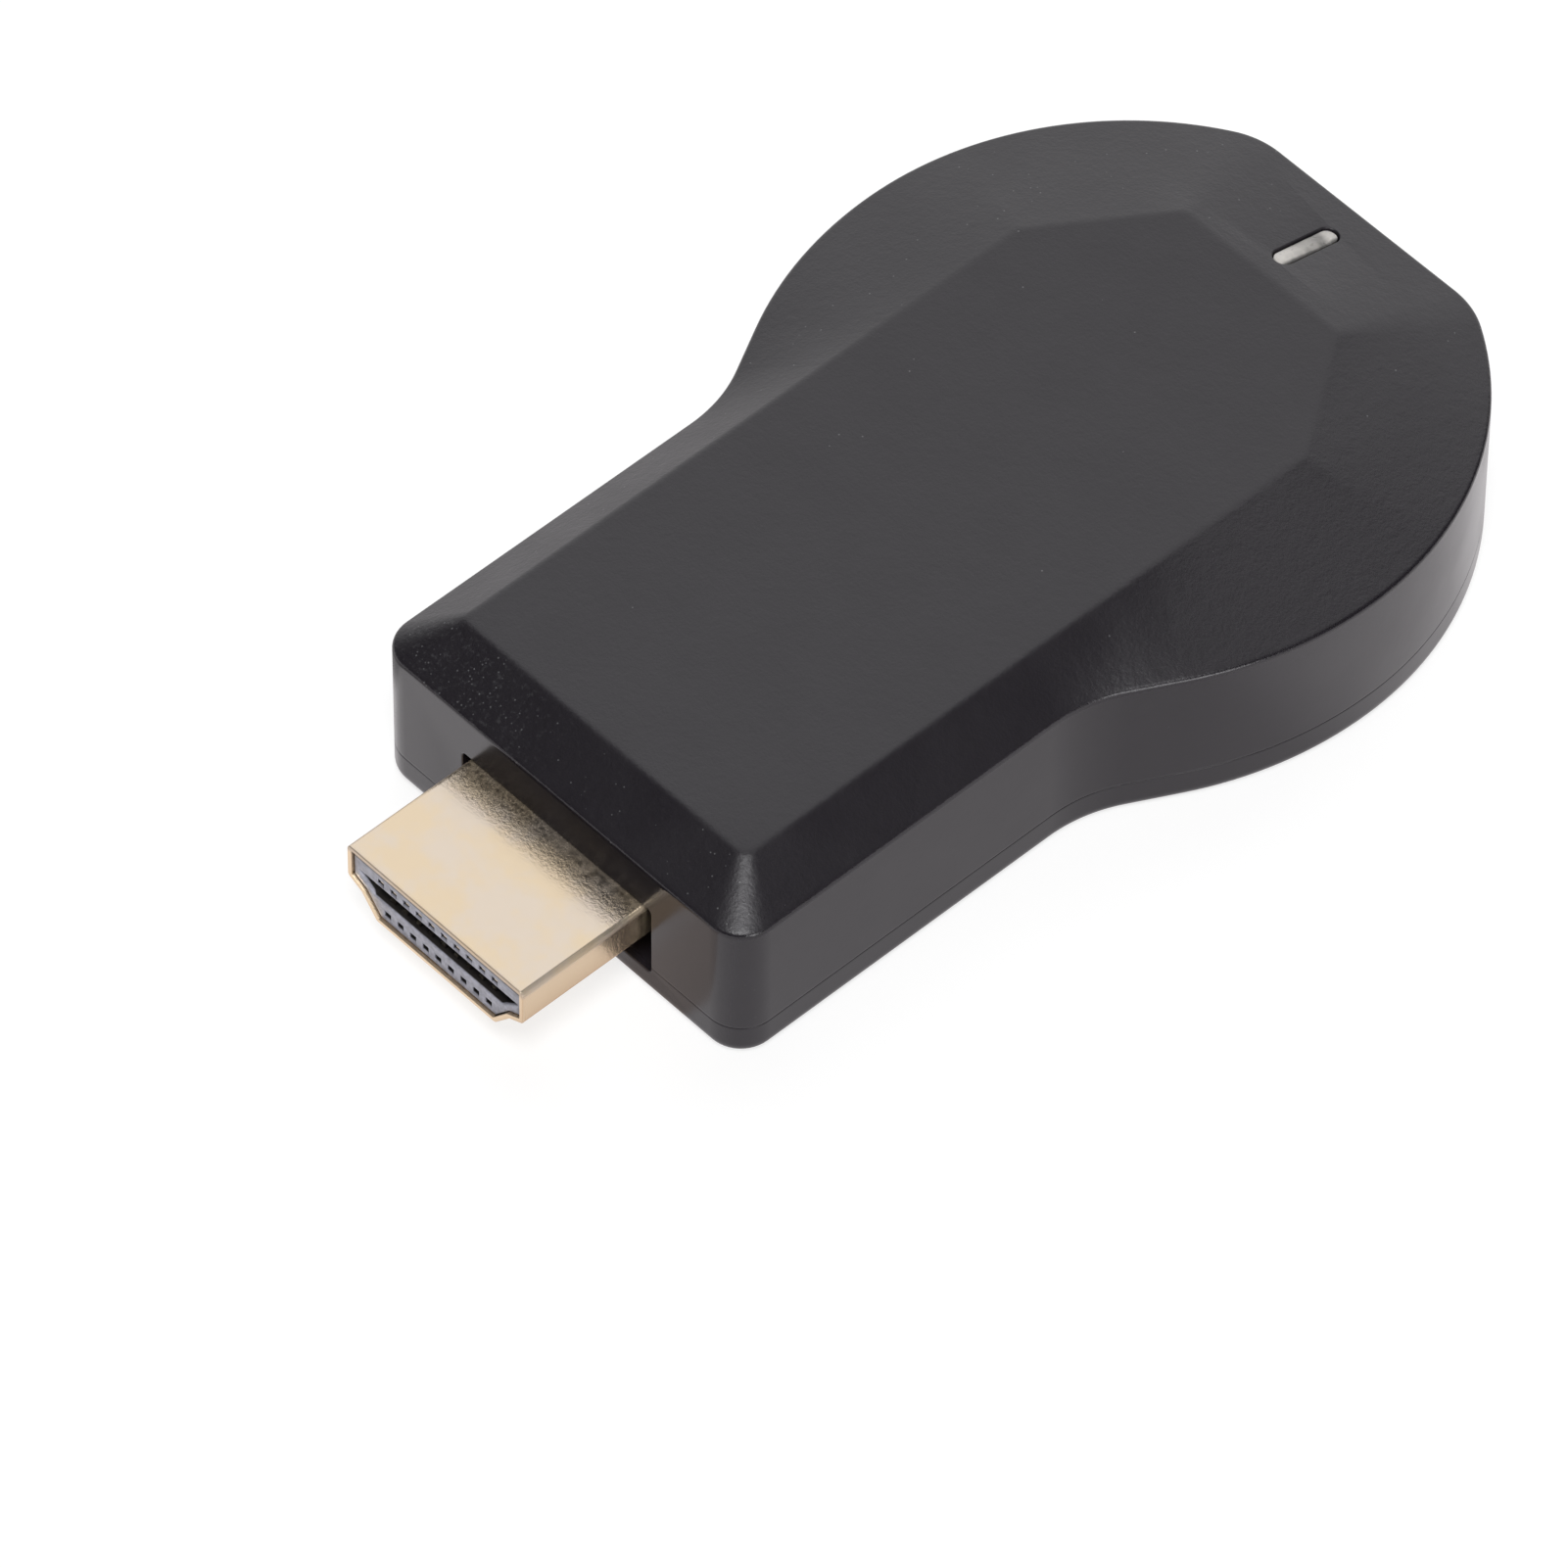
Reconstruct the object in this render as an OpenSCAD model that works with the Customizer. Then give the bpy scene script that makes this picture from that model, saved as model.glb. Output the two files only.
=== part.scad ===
// Wireless display dongle: a thin casing with a square neck and a round head, a gold video plug
// at the front, and a power socket and a push button in the far edge. X is the width, Y runs from
// the plug to the head, and Z is up from the flat underside. All lengths are in millimetres.

/* [Casing outline] */
// Length of the casing, from the front wall to the far edge
casing_len = 60.25; // [58:0.05:66]
// Width of the neck
neck_w = 28.7; // [27.5:0.1:31]
// Widest width of the head
head_w = 39.7; // [38:0.1:44]
// Distance from the head's widest place to the far edge
crown_depth = 18.85; // [17.5:0.05:20.5]
// Width of the straight far edge
far_w = 13.8; // [13:0.1:16]
// Radius of the two far corners in plan
crown_corner_r = 5.4; // [4.5:0.1:7]
// Radius of the hollow where the neck meets the head
waist_r = 9.4; // [5:0.1:14]
// Radius of the head between that hollow and its widest place
shoulder_r = 23.6; // [15:0.1:28]
// Angle by which the outline turns outward at the hollow
waist_angle = 28.4; // [24:0.1:34]
// Radius of the two front corners in plan
front_corner_r = 2.2; // [1.9:0.1:4]

/* [Casing height] */
// Height from the underside to the raised top face
casing_h = 12.1; // [11.9:0.05:13]
// Height of the side wall, up to the sharp edge
side_h = 10; // [9.6:0.05:10.4]
// Height of the line where the two shells part
parting_h = 2.2; // [2.1:0.05:2.5]
// Radius of the rounding along the bottom edge
bottom_r = 0.8; // [0.4:0.05:1.2]
// Width of the rounding along the sharp edge
edge_r = 0.25; // [0.1:0.05:0.5]
// Thickness of the shells
wall = 1.5; // [1.2:0.05:1.6]
// Thickness of the lower shell's floor
floor_t = 1.5; // [1:0.05:1.6]

/* [Raised top face] */
// Width of the raised face
top_w = 22.3; // [20:0.1:24]
// Distance from the front wall to the raised face
top_front = 3.4; // [2.5:0.1:5]
// Distance from the far edge to the raised face
top_far = 8.25; // [7.8:0.05:10]
// Width of the raised face's far end
top_far_w = 12; // [9:0.1:15]
// Length of the slanted sides at that end
top_taper = 7.6; // [5:0.1:10]
// Radius of the raised face's corners
top_corner_r = 0.5; // [0.2:0.05:1]

/* [Video plug] */
// Width of the plug
plug_w = 13.9; // [13.6:0.05:14.2]
// Height of the plug
plug_h = 4.45; // [4.3:0.05:4.6]
// Length of the plug outside the casing
plug_out = 8.7; // [8:0.1:10]
// Height of the plug's underside above the casing's
plug_z = 2.4; // [2.3:0.05:2.5]
// Height of the plug's upright sides
plug_side_h = 2.5; // [2.3:0.05:2.7]
// Width of the plug's flat underside
plug_base_w = 9.4; // [9:0.1:10]
// Width between the outer ends of the plug's two slopes
plug_slope_w = 11.7; // [11.2:0.1:12.2]
// Height of those ends above the plug's underside
plug_slope_h = 1.4; // [1.2:0.05:1.6]
// Thickness of the plug's metal
plug_t = 0.3; // [0.2:0.02:0.34]
// Radius of the plug's corners
plug_r = 0.45; // [0.38:0.01:0.6]
// Distance between neighbouring contacts of one row
contact_pitch = 1; // [0.98:0.01:1.02]

/* [Power socket] */
// Width of the socket's metal shell
usb_w = 7.5; // [7.2:0.05:7.7]
// Height of the socket's metal shell
usb_h = 2.5; // [2.3:0.05:2.7]
// Depth of the socket
usb_d = 5; // [4.6:0.05:5.2]
// Thickness of the socket's metal
usb_t = 0.25; // [0.2:0.01:0.3]
// Distance of the socket's middle from the casing's centre line
usb_offset = 2.1; // [1.9:0.05:2.3]

/* [Push button] */
// Diameter of the button
button_d = 3; // [2.4:0.05:3.2]
// Distance of the button's middle from the casing's centre line
button_offset = 4.9; // [4.7:0.05:5.1]
// How far the button stands out of the far edge
button_out = 0.5; // [0.35:0.05:0.8]
// How far the button moves when it is pressed
button_travel = 0.25; // [0.15:0.01:0.3]

/* [Light] */
// Length of the slot for the status light, along the slope
slot_len = 4.85; // [4:0.05:5.5]
// Width of the slot
slot_w = 1.3; // [1:0.05:1.6]
// Distance from the raised face to the slot, along the slope
slot_start = 1.4; // [1.2:0.05:2]
// Distance of the slot's middle from the casing's centre line
slot_offset = 0.2; // [0:0.05:0.4]
// Depth of the light pipe's face below the slope
pipe_recess = 0.1; // [0.05:0.05:0.3]

/* [Circuit board] */
// Thickness of the board
board_t = 1; // [0.8:0.05:1.1]
// Distance of the board's outline from the casing's
board_inset = 2.7; // [2.65:0.05:2.9]
// Distance of the board from the front wall
board_front = 3.2; // [3:0.05:3.6]

/* [Hidden] */

$fn = 48;
over = 0.5;            // overrun of every cut
seam = 0.06;           // gap between the two shells
fit_gap = 0.1;         // gap round what sits in a hole or a pocket
seat_gap = 0.02;       // gap round a core that is pressed into its metal shell

// Places along the length
front_y = -(casing_len - plug_out) / 2;
far_y = front_y + casing_len;
wide_y = far_y - crown_depth;

// The hollow and the shoulder, whose radii shrink together where the head is too narrow for them
shoulder_w = (head_w - neck_w) / 2;
bend = 1 - cos(waist_angle);
room_share = 0.95;
room = min(1, room_share * shoulder_w / ((waist_r + shoulder_r) * bend));
hollow_r = waist_r * room;
swell_r = shoulder_r * room;
slant = (shoulder_w - (hollow_r + swell_r) * bend) / sin(waist_angle);
hollow_y = wide_y - (hollow_r + swell_r) * sin(waist_angle) - slant * cos(waist_angle);

// The crown, an arc from the head's widest place that touches the far corners' arcs
corner_dx = (far_w - head_w) / 2;
corner_dy = crown_depth - crown_corner_r;
crown_r = (pow(corner_dx, 2) + pow(corner_dy, 2) - pow(crown_corner_r, 2))
    / (-2 * (corner_dx + crown_corner_r));
crown_x = head_w / 2 - crown_r;
crown_angle = atan2(corner_dy, far_w / 2 - crown_x);

// Steps of the outline's arcs
corner_steps = 5;
taper_steps = 11;      // steps of the crown beside the raised face's slanted side
flank_steps = 4;       // steps of the crown beside its straight side
swell_steps = 7;
hollow_steps = 6;
bottom_steps = 3;
min_corner_r = 0.3;    // least corner radius of an outline drawn inside the casing's

// The raised face and the slopes round it
taper_normal = atan2((top_w - top_far_w) / 2, top_taper);
slope_angle = atan2(casing_h - side_h, top_far);
round_share = 0.54;      // how far a rounding cuts its corner off
inner_edge_share = 0.6;  // drop of the shell's inner edge below the sharp edge, in walls
inner_top_share = 0.3;   // inset of the ceiling from the raised face, in walls
ceiling = casing_h - wall;
sink = wall * inner_top_share;
root = sink / 2;         // how far the bosses and the ribs run into the ceiling

// The rim of the lower shell steps up inside the upper shell, and its beads snap into grooves
rim_t = 0.8;
rim_h = 1.1;
rim_inset = wall + fit_gap;
bead_out = 0.3;
bead_h = 0.6;
bead_z = parting_h + rim_h / 2;
side_bead_len = 5;
side_bead_places = [5, 19];   // middle of each side bead, from the front wall
front_bead_gap = 1.05;        // from each end of a front bead to the corner or the plug's opening
far_bead_len = 7;

// The opening for the plug, and what holds the plug inside
plug_gap = 0.5;
opening_drop = 0.7;
opening_r = 0.3;
opening_w = plug_w + 2 * plug_gap;
opening_low = plug_z - opening_drop;
opening_top = plug_z + plug_h + fit_gap;
front_bead_room = neck_w / 2 - front_corner_r - opening_w / 2;
front_bead_len = front_bead_room - 2 * front_bead_gap;
front_bead_x = (opening_w + front_bead_room) / 2;
plug_in = 2.3;
clamp_w = 11;
cradle_w = 8;

// The plug's core, with the slot for a socket's tongue and a window for each contact
core_recess = 0.2;
tongue_slot_w = 12.5;
tongue_slot_base_w = 9.8;
tongue_slot_h = 1.05;
tongue_slot_lift = 1.75;
tongue_slot_depth = 6.5;
tongue_slot_z = plug_z + tongue_slot_lift;
window_w = 0.45;
window_h = 0.5;
upper_rise = 0.12;     // from the slot's roof up to the upper windows
lower_drop = 1.1;      // from the slot's floor down to the foot of the lower windows
upper_window_z = tongue_slot_z + tongue_slot_h + upper_rise;
lower_window_z = tongue_slot_z - lower_drop;

// The board lies level with the middle of that slot
board_z = tongue_slot_z + tongue_slot_h / 2 - board_t / 2;
board_top = board_z + board_t;

// The contacts, as places along the plug from its tip
contact_w = 0.3;
contact_t = 0.15;
upper_tip = 0.45;
lower_tip = 0.85;
bow_start = 1.2;
bow_middle = 2.6;
bow_end = 4.4;
bow_gap = 0.05;        // from the bow to the slot's roof or floor
channel_gap = 0.65;    // length of a channel beyond the bow, at each end
level_share = 0.35;    // height of a contact in its window
tip_share = 0.15;      // how far a contact's tip bends back
upper_count = 10;
lower_count = 9;
tail_drop = 0.9;       // length in which a tail steps to the board
tail_len = 1.3;

// The tabs that carry the plug on the board
tab_rise = 1;
tab_end = 5.6;
leg_start = 4;
leg_end = 5.1;
leg_out = 0.4;

// Bosses of the upper shell: two take screws, two have pins
boss_r = 1.8;
screw_hole_r = 0.65;
screw_hole_depth = 4.4;
board_hole_r = 0.9;
pin_r = 0.75;
pin_end = 0.3;
neck_boss_inset = 4.55;        // from the neck's side to the middle of its bosses
neck_boss = [neck_w / 2 - neck_boss_inset, 8.5];
sink_gap = 2;                  // from the heat sink to the bosses beside it
head_boss_far = 17.2;
top_rib_x = 6.5;
top_rib_t = 0.8;
top_rib_h = 1;
top_rib_start = 10.5;
top_rib_len = 16;

// Posts of the lower shell
post_r = 1.4;
neck_post = [neck_boss[0], 15];
head_post = [10.5, 8];
floor_rib_t = 0.8;
floor_rib_h = 0.9;
floor_rib_w = 15;
floor_rib_places = [19, 26, 33];

// Screws
screw_head_r = 1.5;
screw_head_h = 0.9;
screw_r = 0.6;
screw_len = 5;
cross_len = 1.7;
cross_w = 0.35;
cross_depth = 0.5;

// Parts on the board. A share gives a place along the board, from its front end
board_len = casing_len - board_front - board_inset;
board_edge = neck_w / 2 - board_inset;
head_edge = head_w / 2 - board_inset;
processor_size = [14, 14, 0.4];
processor_cap = [12.4, 12.4, 0.8];
processor_share = 0.641;
pad_size = [12, 12, 0.6];
sink_size = [18, 18, 1.1];
fin_count = 8;
fin_t = 0.8;
fin_h = 2;
head_boss = [sink_size[0] / 2 + sink_gap + boss_r, head_boss_far];
memory_size = [12.5, 8, 1];
memory_share = 0.372;
flash_size = [4, 5.2, 1.6];
flash_x = -5.4;
flash_share = 0.206;
flash_leads = 4;
flash_pitch = 1.27;
regulator_size = [2.9, 1.6, 1.1];
regulator_far = 10;
regulator_shares = [0.24, 0.416, 0.592];   // places across half of the head's width
regulator_leads = 3;
regulator_pitch = 0.95;
lead_w = 0.4;
lead_t = 0.15;
lead_out = 0.6;
inductor_size = [2.6, 2.6, 1.3];
inductor_gap = 0.15;                       // to the board's edge
inductor_shares = [0.195, 0.265, 0.335];
inductor_base_h = 0.3;
crystal_size = [3.2, 2.5, 0.8];
crystal_far = 25;
crystal_base_h = 0.3;
crystal_lip = 0.2;
esd_size = [2.4, 1, 0.5];
esd_share = 0.077;
esd_count = 4;
esd_pitch = plug_w / (esd_count + 1);
resistor_size = [0.5, 1, 0.35];
resistor_share = 0.114;
resistor_count = 8;
resistor_pitch = plug_w / (resistor_count + 2);
cap_size = [1, 0.5, 0.5];
cap_end = 0.25;
cap_gap = 1.1;                             // from the processor
cap_count = 6;
cap_pitch = 2;
cap_x = processor_size[0] / 2 + cap_gap + cap_size[0] / 2;
bulk_size = [3.5, 2.8, 1.7];
bulk_end = 0.3;
bulk_inset = 8.85;                         // from the head's side
bulk_far = 9.6;
bulk_count = 2;
bulk_pitch = 3.6;
dot_r = 0.4;
dot_depth = 0.1;
dot_inset = 1;

// The status light and its pipe
led_size = [0.8, 1.6, 0.6];
led_shift = 0.62;      // distance of the light from the slot's middle
led_far = 6.4;
led_gap = 0.15;
pipe_flange = 0.5;
pipe_flange_t = 0.6;
pipe_leg = [0.8, 1.1];

// The power socket
usb_recess = 0.3;
usb_gap = 0.25;
usb_bevel_w = 1.05;
usb_bevel_h = 0.9;
usb_r = 0.35;
usb_tab = [0.8, 0.9];
usb_tab_pitch = 2.6;
usb_base_d = 1.2;
usb_tongue_w = 3.9;
usb_tongue_t = 0.6;
usb_tongue_inset = 0.9;
usb_tongue_lift = 1.25;
usb_contact_w = 0.32;
usb_contact_t = 0.14;
usb_tail_len = 0.7;
usb_cut_h = 0.3;       // height of the slots that the contacts pass through
usb_pitch = 0.65;
usb_count = 5;
usb_mouth = far_y - usb_recess;
usb_back = usb_mouth - usb_d;

// The switch behind the button
button_gap = 0.15;
button_bevel = 0.2;
flange_out = 0.6;
flange_t = 0.6;
button_back = far_y - wall - fit_gap - flange_t;
switch_size = [4.5, 3.3, 3.3];
switch_lift = 1.7;     // height of the plunger's middle above the board
switch_gap = 0.9;      // distance of the switch from the button at rest
plunger_r = 0.8;
plunger_in = 1;
cover_t = 0.2;
button_z = board_top + switch_lift;
switch_front = button_back - switch_gap;

// Outlines and lofts

function arc(c, r, a0, a1, n) =
    [for (k = [0:n]) let (a = a0 + (a1 - a0) * k / n) c + r * [cos(a), sin(a)]];

function rest(list) = [for (k = [1:len(list) - 1]) list[k]];

function mirrored(half) = concat(half, [for (k = [len(half) - 1:-1:0]) [-half[k][0], half[k][1]]]);

function ring(half, z) = [for (p = mirrored(half)) [p[0], p[1], z]];

// Right half of the casing's outline, drawn in by i, from the far edge to the front
function plan(i) = let (
        r = max(front_corner_r - i, min_corner_r),
        front_corner = [neck_w / 2 - i - r, front_y + i + r]
    ) concat(
        arc([far_w / 2, far_y - crown_corner_r], crown_corner_r - i, 90, crown_angle, corner_steps),
        rest(arc([crown_x, wide_y], crown_r - i, crown_angle, 0, taper_steps + flank_steps)),
        rest(arc([head_w / 2 - swell_r, wide_y], swell_r - i, 0, -waist_angle, swell_steps)),
        arc([neck_w / 2 + hollow_r, hollow_y], hollow_r + i, 180 - waist_angle, 180, hollow_steps),
        arc(front_corner, r, 0, -90, corner_steps)
    );

// Height along the length at which a line square to the outline meets the raised face's side
function foot(p, turn) = p[1] + (p[0] - top_w / 2) * tan(turn);

// Right half of the raised face's outline, drawn in by j, with one point for each of plan's
function crest(j) = let (
        side = top_w / 2 - j,
        outer = plan(0),
        first_swell = corner_steps + 1 + taper_steps + flank_steps,
        first_hollow = first_swell + swell_steps,
        far_corner = [top_far_w / 2, far_y - top_far]
            - (j + top_corner_r) * [(1 - sin(taper_normal)) / cos(taper_normal), 1],
        side_corner = [side, far_y - top_far - top_taper
            - j * (1 - cos(taper_normal)) / sin(taper_normal)],
        taper_start = far_corner + top_corner_r * [cos(taper_normal), sin(taper_normal)]
    ) concat(
        arc(far_corner, top_corner_r, 90, taper_normal, corner_steps),
        [for (k = [1:taper_steps]) mix(taper_start, side_corner, k / taper_steps)],
        [for (k = [1:flank_steps]) mix(side_corner, [side, wide_y], k / flank_steps)],
        [for (k = [1:swell_steps])
            [side, foot(outer[first_swell + k - 1], waist_angle * k / swell_steps)]],
        [for (k = [0:hollow_steps])
            [side, foot(outer[first_hollow + k], waist_angle * (1 - k / hollow_steps))]],
        arc([side - top_corner_r, front_y + top_front + j + top_corner_r], top_corner_r,
            0, -90, corner_steps)
    );

function mix(a, b, share) = a + (b - a) * share;

// Ring b moved by d towards ring a
function toward(a, b, d) = [for (k = [0:len(a) - 1]) b[k] + (a[k] - b[k]) * d / norm(a[k] - b[k])];

// Ring b with its corner rounded off between its neighbours a and c
function eased(a, b, c) = [for (k = [0:len(b) - 1]) mix(b[k], (a[k] + c[k]) / 2, round_share)];

// Solid through a stack of rings that are alike left and right, from the lowest to the highest
module loft(rings) {
    n = len(rings[0]);
    last = len(rings) - 1;
    top = last * n;
    points = [for (r = rings) each r];
    sides = [for (j = [0:last - 1]) for (k = [0:n - 1])
        let (a = j * n + k, b = j * n + (k + 1) % n)
        each [[a, b, b + n], [a, b + n, a + n]]];
    caps = [for (k = [0:n / 2 - 2])
        let (a = k, b = k + 1, c = n - 2 - k, d = n - 1 - k)
        each [[top + a, top + b, top + c], [top + a, top + c, top + d], [c, b, a], [d, c, a]]];
    polyhedron(points = points, faces = concat(sides, caps), convexity = 10);
}

module plate(i, z, h) {
    translate([0, 0, z])
        linear_extrude(h)
            polygon(mirrored(plan(i)));
}

// Profiles with rounded corners

function unit(v) = v / norm(v);

function around(a) = a - 360 * floor((a + 180) / 360);

// Closed outline drawn in by d; its points run anticlockwise
function inset(points, d) = [for (k = [0:len(points) - 1])
    let (
        n = len(points),
        a = unit(points[k] - points[(k + n - 1) % n]),
        b = unit(points[(k + 1) % n] - points[k]),
        m = [-a[1], a[0]],
        o = [-b[1], b[0]]
    ) points[k] + d * (m + o) / (1 + m * o)];

function rounded(points, r, steps = 5) = [for (k = [0:len(points) - 1])
    let (
        n = len(points),
        a = unit(points[(k + n - 1) % n] - points[k]),
        b = unit(points[(k + 1) % n] - points[k]),
        half = acos(a * b) / 2,
        centre = points[k] + unit(a + b) * r / sin(half),
        from = points[k] + a * r / tan(half) - centre,
        to = points[k] + b * r / tan(half) - centre,
        start = atan2(from[1], from[0]),
        sweep = around(atan2(to[1], to[0]) - start)
    ) each arc(centre, r, start, start + sweep, steps)];

function box_points(w, low, high) = [[-w / 2, low], [w / 2, low], [w / 2, high], [-w / 2, high]];

// Strip of thickness t along a path
function strip(path, t) = concat([for (p = path) p - [0, t / 2]],
    [for (k = [len(path) - 1:-1:0]) path[k] + [0, t / 2]]);

function spread(count, step) = [for (k = [0:count - 1]) (k - (count - 1) / 2) * step];

// Prism along the length, from y to y + len, of a profile in width and height
module along(y, len) {
    translate([0, y + len, 0])
        rotate([90, 0, 0])
            linear_extrude(len)
                children();
}

// Prism across the width, centred, of a profile in length and height
module across(w) {
    rotate([90, 0, 90])
        linear_extrude(w, center = true)
            children();
}

// Block centred in width and length, standing at its place
module block(size, at) {
    translate([at[0] - size[0] / 2, at[1] - size[1] / 2, at[2]])
        cube(size);
}

function from_front(place, z) = [place[0], front_y + place[1], z];

function from_far(place, z) = [place[0], far_y - place[1], z];

// Place on the board's top, at a distance from the centre line and a share of the board's length
function on_board(x, share) = [x, front_y + board_front + board_len * share, board_top];

module both_sides() {
    children();
    mirror([1, 0, 0])
        children();
}

// Casing

function upper_rings() = let (
        low = ring(plan(0), side_h - edge_r),
        edge = ring(plan(0), side_h),
        peak = ring(crest(0), casing_h),
        slope_low = toward(peak, edge, edge_r),
        slope_high = toward(edge, peak, edge_r),
        face = ring(crest(edge_r), casing_h)
    ) [ring(plan(0), parting_h + seam), low, eased(low, edge, slope_low), slope_low,
        slope_high, eased(slope_high, peak, face), face];

module bead(len, grow) {
    low = bead_h / 2 + grow;
    rotate([90, 0, 0])
        linear_extrude(len + 2 * grow, center = true)
            polygon([[-rim_t / 2, -low], [0, -low], [bead_out + grow, 0], [0, low], [-rim_t / 2, low]]);
}

module beads(grow) {
    both_sides() {
        for (d = side_bead_places)
            translate([neck_w / 2 - rim_inset, front_y + d, bead_z])
                bead(side_bead_len, grow);
        translate([front_bead_x, front_y + rim_inset, bead_z])
            rotate(-90)
                bead(front_bead_len, grow);
    }
    translate([0, far_y - rim_inset, bead_z])
        rotate(90)
            bead(far_bead_len, grow);
}

module plug_opening() {
    along(front_y - over, rim_inset + rim_t + 2 * over)
        polygon(rounded(box_points(opening_w, opening_low, opening_top), opening_r));
}

// Frame of the far slope: its origin where the slope leaves the raised face, Y down the slope
module on_slope(lift = 0) {
    translate([-slot_offset, far_y - top_far, casing_h])
        rotate([-slope_angle, 0, 0])
            translate([0, slot_start + slot_len / 2, lift])
                children();
}

module stadium(len, w) {
    square([w, len - w], center = true);
    for (s = [-1, 1])
        translate([0, s * (len - w) / 2])
            circle(d = w);
}

module boss(pin) {
    translate([0, 0, board_top])
        cylinder(r = boss_r, h = ceiling + root - board_top);
    if (pin)
        translate([0, 0, board_z - pin_end])
            cylinder(r = pin_r, h = board_t + pin_end + over);
}

// Places of the two bosses with screws, or of the two with pins
module boss_places(pins) {
    side = pins ? 1 : -1;
    translate(from_front([side * neck_boss[0], neck_boss[1]], 0))
        children();
    translate(from_far([-side * head_boss[0], head_boss[1]], 0))
        children();
}

module top_ribs() {
    for (s = [-1, 1])
        block([top_rib_t, top_rib_len, top_rib_h + root],
            [s * top_rib_x, front_y + top_rib_start + top_rib_len / 2, ceiling - top_rib_h]);
    for (d = [top_rib_start, top_rib_start + top_rib_len])
        block([2 * top_rib_x + top_rib_t, top_rib_t, top_rib_h + root],
            [0, front_y + d, ceiling - top_rib_h]);
}

module upper_casing() {
    color("#3a393b") difference() {
        union() {
            difference() {
                loft(upper_rings());
                loft([ring(plan(wall), parting_h - over),
                    ring(plan(wall), side_h - inner_edge_share * wall),
                    ring(crest(sink), ceiling)]);
            }
            boss_places(true)
                boss(true);
            boss_places(false)
                boss(false);
            top_ribs();
            block([clamp_w, plug_in - wall / 2, side_h - plug_z - plug_h],
                [0, front_y + (plug_in + wall / 2) / 2, plug_z + plug_h]);
        }
        plug_opening();
        beads(fit_gap);
        boss_places(false)
            translate([0, 0, board_top - over])
                cylinder(r = screw_hole_r, h = screw_hole_depth + over);
        on_slope(-2 * wall)
            linear_extrude(2 * wall + over)
                stadium(slot_len, slot_w);
        translate([-usb_offset, 0, board_top])
            along(far_y - wall - over, wall + 2 * over)
                polygon(rounded(box_points(usb_w + 2 * usb_gap, -usb_gap, usb_h + usb_gap), usb_r));
        translate([button_offset, far_y + over, button_z])
            rotate([90, 0, 0])
                cylinder(d = button_d + 2 * button_gap, h = wall + 2 * over);
    }
}

module lower_casing() {
    fillet = [for (k = [0:bottom_steps]) let (a = 90 * k / bottom_steps)
        ring(plan(bottom_r * (1 - sin(a))), bottom_r * (1 - cos(a)))];
    foot_z = floor_t / 2;
    color("#3a393b") {
        difference() {
            union() {
                loft(concat(fillet, [ring(plan(0), parting_h)]));
                plate(rim_inset, foot_z, parting_h + rim_h - foot_z);
            }
            plate(rim_inset + rim_t, floor_t, parting_h + rim_h);
            plug_opening();
        }
        beads(0);
        for (s = [-1, 1]) {
            translate(from_front([s * neck_post[0], neck_post[1]], foot_z))
                cylinder(r = post_r, h = board_z - foot_z);
            translate(from_far([s * head_post[0], head_post[1]], foot_z))
                cylinder(r = post_r, h = board_z - foot_z);
        }
        block([cradle_w, plug_in, plug_z - foot_z], [0, front_y + wall + plug_in / 2, foot_z]);
        for (d = floor_rib_places)
            block([floor_rib_w, floor_rib_t, floor_rib_h + foot_z], [0, front_y + d, foot_z]);
    }
}

// Video plug

plug_points = [[-plug_base_w / 2, 0], [plug_base_w / 2, 0], [plug_slope_w / 2, plug_slope_h],
    [plug_w / 2, plug_h - plug_side_h], [plug_w / 2, plug_h], [-plug_w / 2, plug_h],
    [-plug_w / 2, plug_h - plug_side_h], [-plug_slope_w / 2, plug_slope_h]];

module plug_profile(i) {
    translate([0, plug_z])
        polygon(rounded(inset(plug_points, i), plug_r - i));
}

module hdmi_shell() {
    tab_x = (plug_w - plug_t) / 2;
    color("#c9a66b") {
        difference() {
            along(front_y - plug_out, plug_out + plug_in)
                plug_profile(0);
            along(front_y - plug_out - over, plug_out + plug_in + 2 * over)
                plug_profile(plug_t);
        }
        both_sides() {
            block([plug_t, tab_end - plug_in + plug_t, tab_rise],
                [tab_x, front_y + (tab_end + plug_in - plug_t) / 2, board_top]);
            block([plug_t, leg_end - leg_start, board_t + leg_out + tab_rise / 2],
                [tab_x, front_y + (leg_start + leg_end) / 2, board_z - leg_out]);
        }
    }
}

// Windows and channels of one row of contacts, open to the tongue's slot behind the front face
module channels(count, window_z, low, high) {
    front = front_y - plug_out;
    for (x = spread(count, contact_pitch)) {
        block([window_w, plug_out + plug_in + 2 * over, window_h],
            [x, front + (plug_out + plug_in) / 2, window_z]);
        block([window_w, bow_end - bow_start + 2 * channel_gap, high - low],
            [x, front + (bow_start + bow_end) / 2, low]);
    }
}

module hdmi_insulator() {
    slot = [[-tongue_slot_base_w / 2, 0], [tongue_slot_base_w / 2, 0],
        [tongue_slot_w / 2, tongue_slot_h], [-tongue_slot_w / 2, tongue_slot_h]];
    middle = tongue_slot_z + tongue_slot_h / 2;
    color("#8f95a3") difference() {
        along(front_y - plug_out + core_recess, plug_out + plug_in - core_recess - fit_gap)
            plug_profile(plug_t + seat_gap);
        along(front_y - plug_out - over, tongue_slot_depth + over)
            translate([0, tongue_slot_z])
                polygon(slot);
        channels(upper_count, upper_window_z, middle, upper_window_z + window_h);
        channels(lower_count, lower_window_z, lower_window_z, middle);
    }
}

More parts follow.
